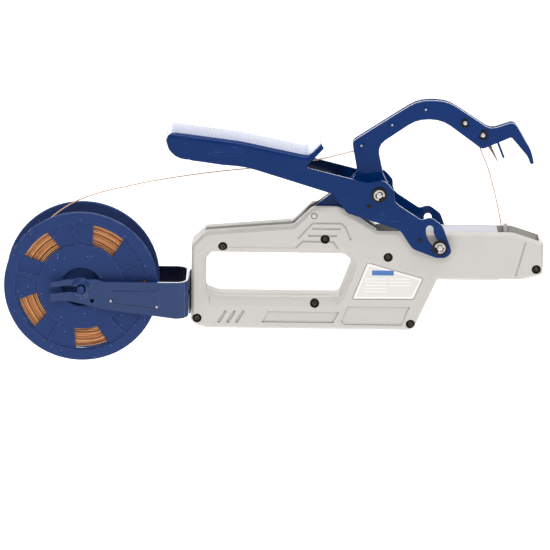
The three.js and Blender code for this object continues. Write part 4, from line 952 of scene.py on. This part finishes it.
def studio():
    deselect()
    bpy.ops.mesh.primitive_plane_add(size=FLOOR_SIZE, location=mm(0, 0, FLOOR_HEIGHT))
    floor = bpy.context.object
    floor.name = "studio_floor"
    bpy.ops.object.transform_apply(location=True)
    floor.data.materials.append(finish(
        "plain pale floor", (0.9, 0.9, 0.9, 1), 0.9, shine=0.0, depth=0.99, patch=0.2,
        shader={"Emission Color": WHITE, "Emission Strength": FLOOR_GLOW},
    ))
    world = bpy.data.worlds.new("soft_room")
    bpy.context.scene.world = world
    world.use_nodes = True
    sky = world.node_tree.nodes["Background"]
    sky.inputs["Color"].default_value = WHITE
    sky.inputs["Strength"].default_value = ROOM_LIGHT
    for name, place, aim, size, power in LIGHTS:
        bpy.ops.object.light_add(type="AREA", location=mm(*place))
        light = bpy.context.object
        light.name = name
        light.data.shape = "RECTANGLE"
        light.data.size, light.data.size_y = size
        light.data.energy = power
        light.visible_camera = False
        light.visible_diffuse = name != "rear_screen"
        light.rotation_euler = (mm(*place) - mm(*aim)).to_track_quat("Z", "Y").to_euler()
    bpy.context.scene.view_settings.view_transform = "Standard"


studio()

# Housing: two moulded shells, screws, label, nose cover and wire gripper

OPEN_DEPTH, WALL_DEPTH = 8.9, 9.5
SCREW_HEAD = 1.72
SCREW_PROFILE = [
    (0, -SCREW_HEAD), (1.5, -1.7), (2.5, -1.42), (3.0, -0.9), (3.1, -0.4), (3.1, 0), (1.35, 0), (1.35, 14.8),
    (0.5, 15.3), (0, 15.3),
]
DRIVER_LOW, DRIVER_HIGH, DRIVER_TAPER = (-1.9, -3, -0.5), (1.9, -0.6, 0.5), (0.55, 1, 0.6)
SCREW_TURN = 25


def shell_rounding(edge):
    """The outline and the finger opening are well rounded, small features hardly."""
    depth = min(abs(vertex.co.y) for vertex in edge.verts) / MM
    if edge.calc_face_angle_signed(0) > 0:
        return 0.6 if depth > OPEN_DEPTH else 0.25
    return 0.15 if depth > WALL_DEPTH else 0


for shell in ("housing_near", "housing_far"):
    dressed(shell, GREY_PLASTIC, "grey_plastic", 0.6, 12, fitted=True, most=shell_rounding)


def screw_head():
    """A pan head with a tapered cross recess, and its shank."""
    screw = turned("screw_pattern", SCREW_PROFILE, (0, 0, 0), 40)
    for turn in (0, 90):
        tool = block("driver", DRIVER_LOW, DRIVER_HIGH)
        with Editing(tool, "FACE") as edit:
            edit.select("faces", lambda face: face.normal.y > 0.5)
            bpy.ops.transform.resize(value=DRIVER_TAPER)
        cut(screw, moved(tool, (0, 0, 0), turn))
    return soften(screw, 0.14, 40)


screw_pattern = screw_head()
for number in range(1, 8):
    node = f"housing_screw_{number}"
    low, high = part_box(node)
    middle = (low + high) / 2 / MM
    screw = placed(f"case_screw_{number}", screw_pattern.data.copy())
    moved(screw, (0, 0, 0), number * SCREW_TURN)
    moved(screw, (middle.x, low.y / MM + SCREW_HEAD, middle.z))
    fit(screw, "housing", SCREW_STEEL, "black_steel", [node])
bpy.data.objects.remove(screw_pattern)

dressed("rating_label", LABEL_FILM, "sticker", 0.1)
dressed("nose_cover", COVER_STEEL, "pale_steel", 0.4)
dressed("wire_gripper", PRONG_STEEL, "bright_steel", 0.3)

# Pins, washers and clips of the linkage, made from (radius, y) profiles

SIDES = (("near", -1), ("far", 1))
PIN_ANGLE, PIN_STEPS, RING_STEPS, SMALL_STEPS = 35, 40, 56, 24
CLIP_THICKNESS, CLIP_RELIEF = 0.6, 0.12
STEEL, DARK_STEEL = (BRIGHT_STEEL, "bright_steel"), (BLACK_OXIDE, "black_steel")
HOOK_PAINT, BRONZE = (HOOK_ENAMEL, "blue_paint"), (BRONZE_STEEL, "bronze_steel")


def mirrored(half):
    """A profile from its near half, and the same half again turned round."""
    return half + [(radius, -y) for radius, y in reversed(half)]


def ring(inner, outer, low, high):
    return [(inner, low), (outer, low), (outer, high), (inner, high), (inner, low)]


def pin(name, profile, place, width, body, look, nodes=(), steps=PIN_STEPS):
    """A turned and rounded piece with its finish, round an (x, z) or (x, y, z) place."""
    if len(place) == 2:
        place = (place[0], 0, place[1])
    return fit(soften(turned(name, profile, place, steps), width, PIN_ANGLE), body, *look, nodes)


def side_pins(name, profile, place, width, body, look, steps=SMALL_STEPS):
    """The same small piece on both sides, from the profile of the far one."""
    for side, sign in SIDES:
        turned_round = [(radius, sign * y) for radius, y in profile]
        pin(f"{name}_{side}", turned_round, place, width, body, look, steps=steps)


def retaining_clip(name, place, outer, grip, turn, body, look, node):
    """An E-shaped clip: a broad ring with three lugs that grip the groove of the pin."""
    relief = (outer + grip) / 2 + CLIP_RELIEF
    points = [(outer, angle) for angle in range(38, 325, 7)]
    for angle in range(322, 37, -7):
        lug = angle > 300 or angle < 60 or abs(angle - 180) < 18
        points.append((grip if lug else relief, angle))
    x, y, z = place
    outline = [around((x, z), radius, math.radians(angle + turn)) for radius, angle in points]
    clip = plate(name, outline, y, y + CLIP_THICKNESS)
    fit(soften(clip, 0.1, 40), body, *look, [node])


CLEVIS = [
    (0, -20.3), (1.6, -20.3), (2, -19.95), (2, -19.6), (1.45, -19.6), (1.45, -18.75), (2, -18.75), (2, 18.9),
    (3.8, 18.9), (3.8, 19.9), (3.3, 20.4), (0, 20.4),
]
for name, (x, z), body, turn in (
    ("lever", LEVER_PIN, "lever_arm", -55), ("guide", GUIDE_PIN, "housing", -150)
):
    pin(f"{name}_clevis_pin", CLEVIS, (x, z), 0.12, body, STEEL, [f"{name}_pin"])
    for side, depth in (("near", -18.6), ("far", 17.8)):
        profile, node = ring(2.25, 5.5, 0, 0.8), f"{name}_washer_{side}"
        pin(f"{name}_ring_{side}", profile, (x, depth, z), 0.2, body, DARK_STEEL, [node], RING_STEPS)
    retaining_clip(f"{name}_e_clip", (x, -19.5, z), 3.9, 1.5, turn, body, STEEL, f"{name}_clip")

HOOK_PIN = mirrored([(0, -12), (1.7, -12), (2, -11.7)])
pin("hook_pin", HOOK_PIN, HOOK_PIVOT, 0.15, "housing", STEEL, ["hook_pivot_pin"])
POST = mirrored([(0, -8.7), (1.0, -8.7), (1.2, -8.4), (1.2, -1.5), (0.95, -1.2)])
pin("spring_pin", POST, SPRING_POST, 0.1, "housing", STEEL, ["spring_post"])

# Hook: two blue plates, rivets with spacers, rollers, needle

for side, _ in SIDES:
    dressed(f"hook_plate_{side}", HOOK_ENAMEL, "blue_paint", 0.42, 35)

RIVET = mirrored([
    (0, -4.5), (0.9, -4.5), (1.1, -4.42), (2.1, -4.36), (2.4, -4.2), (2.4, -3.9), (0.95, -3.9), (0.95, -1.2),
    (2, -1.15),
])
RIVET_END = [(0, 4.3), (0.75, 4.3), (0.75, 4.62), (0.55, 4.78), (0, 4.82)]
for number in (1, 2, 3):
    node = f"hook_rivet_{number}"
    place = middle_of(node, 2)
    pin(f"plate_rivet_{number}", RIVET, place, 0.06, "hook_arm", HOOK_PAINT, [node])
    side_pins(f"plate_rivet_end_{number}", RIVET_END, place, 0.05, "hook_arm", STEEL)

ANCHOR = mirrored([(0, -4), (0.75, -4), (0.95, -3.8), (0.95, -0.6), (0.75, -0.4)])
pin("spring_bar", ANCHOR, SPRING_ANCHOR, 0.08, "hook_arm", STEEL, ["spring_anchor"])
pin("pivot_bush", ring(2.3, 3.3, -1.2, 1.2), HOOK_PIVOT, 0.15, "hook_arm", BRONZE, ["hook_pivot_bush"])

for number, shaft, cap, turn in ((1, 1.45, 2.45, 20), (2, 1.6, 2.75, 160)):
    x, z = middle_of(f"guide_roller_{number}", 2)
    groove = mirrored([
        (shaft + 0.3, -1.2), (2.4, -1.2), (2.5, -1.0), (2.9, -1.0), (3.0, -1.2), (3.4, -1.2), (3.4, -0.9),
        (2.75, -0.25),
    ])
    groove += groove[:1]
    pin(f"wire_roller_{number}", groove, (x, z), 0.08, f"roller_{number}", STEEL, [f"guide_roller_{number}"])
    axle = [
        (0, -5.3), (shaft - 0.3, -5.3), (shaft, -5.05), (shaft, -4.95), (shaft - 0.45, -4.95),
        (shaft - 0.45, -4.25), (shaft, -4.25), (shaft, 4.3), (cap, 4.3), (cap, 4.7), (cap - 0.3, 4.9),
        (0, 4.9),
    ]
    look = (BRIGHT_STEEL, "bronze_steel")
    pin(f"roller_axle_{number}", axle, (x, z), 0.1, "hook_arm", look, [f"roller_pin_{number}"])
    name, node, look = f"roller_e_clip_{number}", f"roller_clip_{number}", (BLACK_OXIDE, "bronze_steel")
    retaining_clip(name, (x, -4.9, z), cap + 0.8, shaft - 0.4, turn, "hook_arm", look, node)

NEEDLE_BASE, NEEDLE_TIP = Vector((150.92, 133.76)), Vector((157.12, 122.40))
NEEDLE_PROFILE = [
    (0, -4.8), (1.0, -4.8), (1.25, -4.5), (1.25, 1.0), (1.1, 1.25), (0.95, 1.3), (0.9, 2.2),
    (0.7, 5.5), (0.45, 9.0), (0.22, 12.2), (0.1, 12.9), (0, 13.0),
]


def needle():
    """A ground needle in a dark collar, which leads the wire into the nose."""
    along = (NEEDLE_TIP - NEEDLE_BASE).normalized()
    piece = soften(turned("wire_needle", NEEDLE_PROFILE, (0, 0, 0), 32, upright=True), 0.08, 40)
    turn = math.degrees(math.atan2(along.x, along.y))
    moved(moved(piece, (0, 0, 0), turn), (NEEDLE_BASE.x, 0, NEEDLE_BASE.y))
    fit(piece, "hook_arm", *BRONZE, ["needle"])


needle()

# Squeeze lever: one folded sheet, and the dark rivets of its guide plates

LEVER_TRIM = [
    (-84, 117), (-84, 139), (-77.9, 138.4), (-76.7, 134.6), (-75.2, 132.2), (-73.3, 130.2), (-71.2, 128.5),
    (-69, 127.2), (-66.7, 126.4), (-64, 125.9), (-60.4, 125.4), (-52.7, 124.4), (-44, 123.2), (-36, 122.1),
    (-32, 121.4), (-32, 117),
]
GUIDE_RIVET = [(0, 15.45), (1.5, 15.45), (1.5, 17.35), (1.2, 17.55), (0, 17.6)]


def lever_end(lever):
    """Rounds the free end of both walls in one slant, from the tip to the under edge."""
    cut(lever, plate("end_trim", LEVER_TRIM, -19, 19))


dressed("lever", LEVER_ENAMEL, "blue_paint", 0.5, 26, fitted=True, shape=lever_end)
for number, place in enumerate(((65.46, 93.58), (102.3, 69.38)), 1):
    name, look = f"guide_plate_rivet_{number}", (BLACK_OXIDE, "bronze_steel")
    side_pins(name, GUIDE_RIVET, place, 0.08, "lever_arm", look, PIN_STEPS)

# Return spring: close curls from the post in the housing, over the bush, to the bar in the hook

SPRING_COIL, SPRING_WIRE = 0.84, 0.3
SPRING_CURLS, CURL_STEPS, CURLED_SHARE = 50, 10, 0.88
OVER_REACH, OVER_ANGLE = 4.75, math.radians(35)
POST_REACH, ANCHOR_REACH, BEND_REACH = 1.8, 1.55, 7


def towards(start, target, reach):
    step = Vector(target) - Vector(start)
    return Vector(start) + step.normalized() * reach


def return_spring():
    x, z = HOOK_PIVOT
    over = (x - OVER_REACH * math.sin(OVER_ANGLE), z + OVER_REACH * math.cos(OVER_ANGLE))
    marks = [
        towards(SPRING_POST, over, POST_REACH), towards(over, SPRING_POST, BEND_REACH), Vector(over),
        towards(over, SPRING_ANCHOR, BEND_REACH), towards(SPRING_ANCHOR, over, ANCHOR_REACH),
    ]
    count = SPRING_CURLS * CURL_STEPS
    line = smooth_line([(x, 0, z) for x, z in marks], int(count / CURLED_SHARE))
    lead = (len(line) - count) // 2
    points = [line[0]]
    for i in range(count + 1):
        middle = line[lead + i]
        ahead = (line[min(lead + i + 1, len(line) - 1)] - line[lead + i - 1]).normalized()
        upright = Vector((-ahead.z, 0, ahead.x))
        angle = TURN * i / CURL_STEPS
        reach = SPRING_COIL * MM * min(1, i / CURL_STEPS, (count - i) / CURL_STEPS)
        points.append(middle + upright * (reach * math.cos(angle)) + Vector((0, reach * math.sin(angle), 0)))
    points.append(line[-1])
    spring = tube("tension_spring", points, SPRING_WIRE, 7)
    fit(spring, None, SPRING_STEEL, "bronze_steel", ["return_spring"])
    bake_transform(spring)


return_spring()

# Wire reel: two moulded sides, the stacked wire that shows in their windows, and its outer turns

REEL_STEPS, CORE_STEPS, WIRE_STEPS = 144, 96, 72
REEL_PLACE = (REEL_CENTRE[0], 0, REEL_CENTRE[1])
REEL_PROFILE = [
    (0, 25.6), (1.9, 25.6), (2.6, 24.8), (2.6, 11.4), (3.4, 10.9), (4.6, 10.9), (4.6, 10.6), (14, 10.6),
    (14, 15.3), (14.7, 16), (30.7, 16), (31, 15.7), (31, 15), (47, 15), (47, 15.7), (47.3, 16),
    (54.2, 16), (54.98, 15.2), (54.98, 14.3), (54.3, 13.6), (25, 13.6), (25, 0.15), (22.6, 0.15),
    (22.6, 13.6), (16.4, 13.6), (16.4, 8.2), (0, 8.2),
]
WINDOWS = 5
WINDOW_AT, WINDOW_LEAN, WINDOW_HALF = 60, 4, 15
WINDOW_OUT, WINDOW_IN = 46, 31.5
RIB_AT, RIB_INNER, RIB_OUTER, RIB_HALF = 96, 30.2, 48.5, 1.9
RIB_LOW, RIB_HIGH, RIB_CROWN = 13.9, 15.9, (1, 1, 0.5)


def corner_of_window(edge):
    start, end = (vertex.co for vertex in edge.verts)
    return abs((start - end).normalized().y) > 0.9 and edge.calc_face_angle(0) > 0.7


def window_cutter(centre, side):
    start, last = centre + WINDOW_LEAN - WINDOW_HALF, centre + WINDOW_HALF
    points = [(WINDOW_OUT, start + 2 * WINDOW_HALF * i / 14) for i in range(15)]
    points += [(WINDOW_IN, last - 2 * WINDOW_HALF * i / 10) for i in range(11)]
    outline = [around(REEL_CENTRE, radius, math.radians(angle)) for radius, angle in points]
    tool = plate(f"window_{centre}", outline, side * 10, side * 19)
    with Editing(tool, "EDGE") as edit:
        edit.select("edges", corner_of_window)
        bpy.ops.mesh.bevel(offset=0.8 * MM, segments=4)
    return tool


def radial_rib(angle, side):
    """A low raised bar between two windows, with a sloped crown."""
    low, high = sorted((side * RIB_LOW, side * RIB_HIGH))
    rib = block(f"rib_{angle}", (RIB_INNER, low, -RIB_HALF), (RIB_OUTER, high, RIB_HALF))
    with Editing(rib, "FACE") as edit:
        edit.select("faces", lambda face: face.normal.y * side > 0.5)
        bpy.ops.transform.resize(value=RIB_CROWN)
    return moved(rib, REEL_PLACE, -angle)


def reel_side(name, side, node):
    profile = [(radius, side * height) for radius, height in REEL_PROFILE]
    reel = turned(name, profile, REEL_PLACE, REEL_STEPS)
    steps = [360 // WINDOWS * i for i in range(WINDOWS)]
    cut(reel, join([window_cutter(WINDOW_AT + step, side) for step in steps], "windows"))
    cut(reel, join([radial_rib(RIB_AT + step, side) for step in steps], "ribs"), "UNION")
    fit(soften(reel, 0.22, 32), "reel", REEL_PLASTIC, "reel_plastic", [node])


for side, sign in SIDES:
    reel_side(f"reel_side_{side}", sign, f"reel_half_{side}")

STACK_TURNS, STACK_IN, STACK_REACH, STACK_DEPTH = 18, 25.9, 18.6, 12.7


def stacked_wire(name, side, seed):
    """The ends of the wire layers, seen as one spiral that wanders a little from turn to turn."""
    rng = random.Random(seed)
    sway = [(rng.uniform(0.05, 0.22), rng.randint(1, 5), rng.uniform(0, TURN)) for _ in range(4)]
    jump = [rng.uniform(-0.3, 0.3) for _ in range(STACK_TURNS + 2)]
    points = []
    for i in range(STACK_TURNS * WIRE_STEPS + 1):
        share = i / WIRE_STEPS
        angle = TURN * share * side
        step = int(share)
        wander = jump[step] + (jump[step + 1] - jump[step]) * (share - step)
        wave = sum(size * math.sin(count * angle + start) for size, count, start in sway)
        radius = STACK_IN + STACK_REACH * share / STACK_TURNS + 0.5 * wander + 0.35 * wave
        x, z = around(REEL_CENTRE, radius, angle)
        points.append(mm(x, side * (STACK_DEPTH - 0.25 * abs(wander) - 0.12 * abs(wave)), z))
    return tube(name, points, WIRE_RADIUS, 7)


def wound_wire(name, radius, start, end, turns, last_angle):
    """A layer of turns laid side by side along the reel."""
    points = []
    for i in range(turns * WIRE_STEPS + 1):
        left = turns - i / WIRE_STEPS
        x, z = around(REEL_CENTRE, radius, math.radians(last_angle) + TURN * left)
        points.append(mm(x, end - (end - start) * left / turns, z))
    return tube(name, points, WIRE_RADIUS, 8)


pack = soften(turned("wire_core", ring(25.3, 43.1, -12.1, 12.1), REEL_PLACE, CORE_STEPS), 0.6, 40)
fit(pack, "reel", WIRE_SHADE, "paper_wire", ["wire_pack"])
for side, sign in SIDES:
    fit(stacked_wire(f"wire_stack_{side}", sign, 11 + sign), "reel", WIRE_STACK, "paper_wire")
fit(wound_wire("wire_turns", 44.9, -12.7, 6, 19, 150), "reel", WIRE_STACK, "paper_wire", ["wire_winding"])
fit(wound_wire("wire_turns_below", 43.9, 12.5, 4.4, 9, 40), "reel", WIRE_STACK, "paper_wire")

# Bracket: forked strip of steel, weld studs, rubber pad and bolt

WELD_STUD = [(0, 20), (1.0, 20), (1.0, 22.4), (0.8, 22.85), (0.4, 23.05), (0, 23.1)]
dressed("reel_bracket", BRACKET_ENAMEL, "bracket_paint", 0.45, 14, fitted=True)
for number, place in enumerate(((-116.6, 22.9), (-83.9, 18.8)), 1):
    side_pins(f"bracket_stud_{number}", WELD_STUD, place, 0.06, "housing", STEEL)
dressed("bracket_pad", PAD_RUBBER, "black_rubber", 0.3)
dressed("bracket_bolt", BRIGHT_STEEL, "bright_steel", 0.25)

# Inside the housing: motor, gears, twister, batteries, board and switch

for node, material, slot, width in (
    ("motor", MOTOR_CAN, "copper_paint", 0.4),
    ("motor_pinion", *BRONZE, 0.08),
    ("idler_gear", NYLON, "white_nylon", 0.1),
    ("idler_pin", *STEEL, 0.15),
    ("twister_spindle", *STEEL, 0.1),
    ("spindle_bearing_1", *BRONZE, 0.4),
    ("spindle_bearing_2", *BRONZE, 0.4),
    ("battery_pack", CELL_SLEEVE, "cell_wrap", 0.5),
    ("circuit_board", BOARD_LACQUER, "green_board", 0.15),
    ("start_switch", SWITCH_PLASTIC, "black_plastic", 0.3),
    ("switch_plunger", NYLON, "white_nylon", 0.2),
):
    dressed(node, material, slot, width, 25)
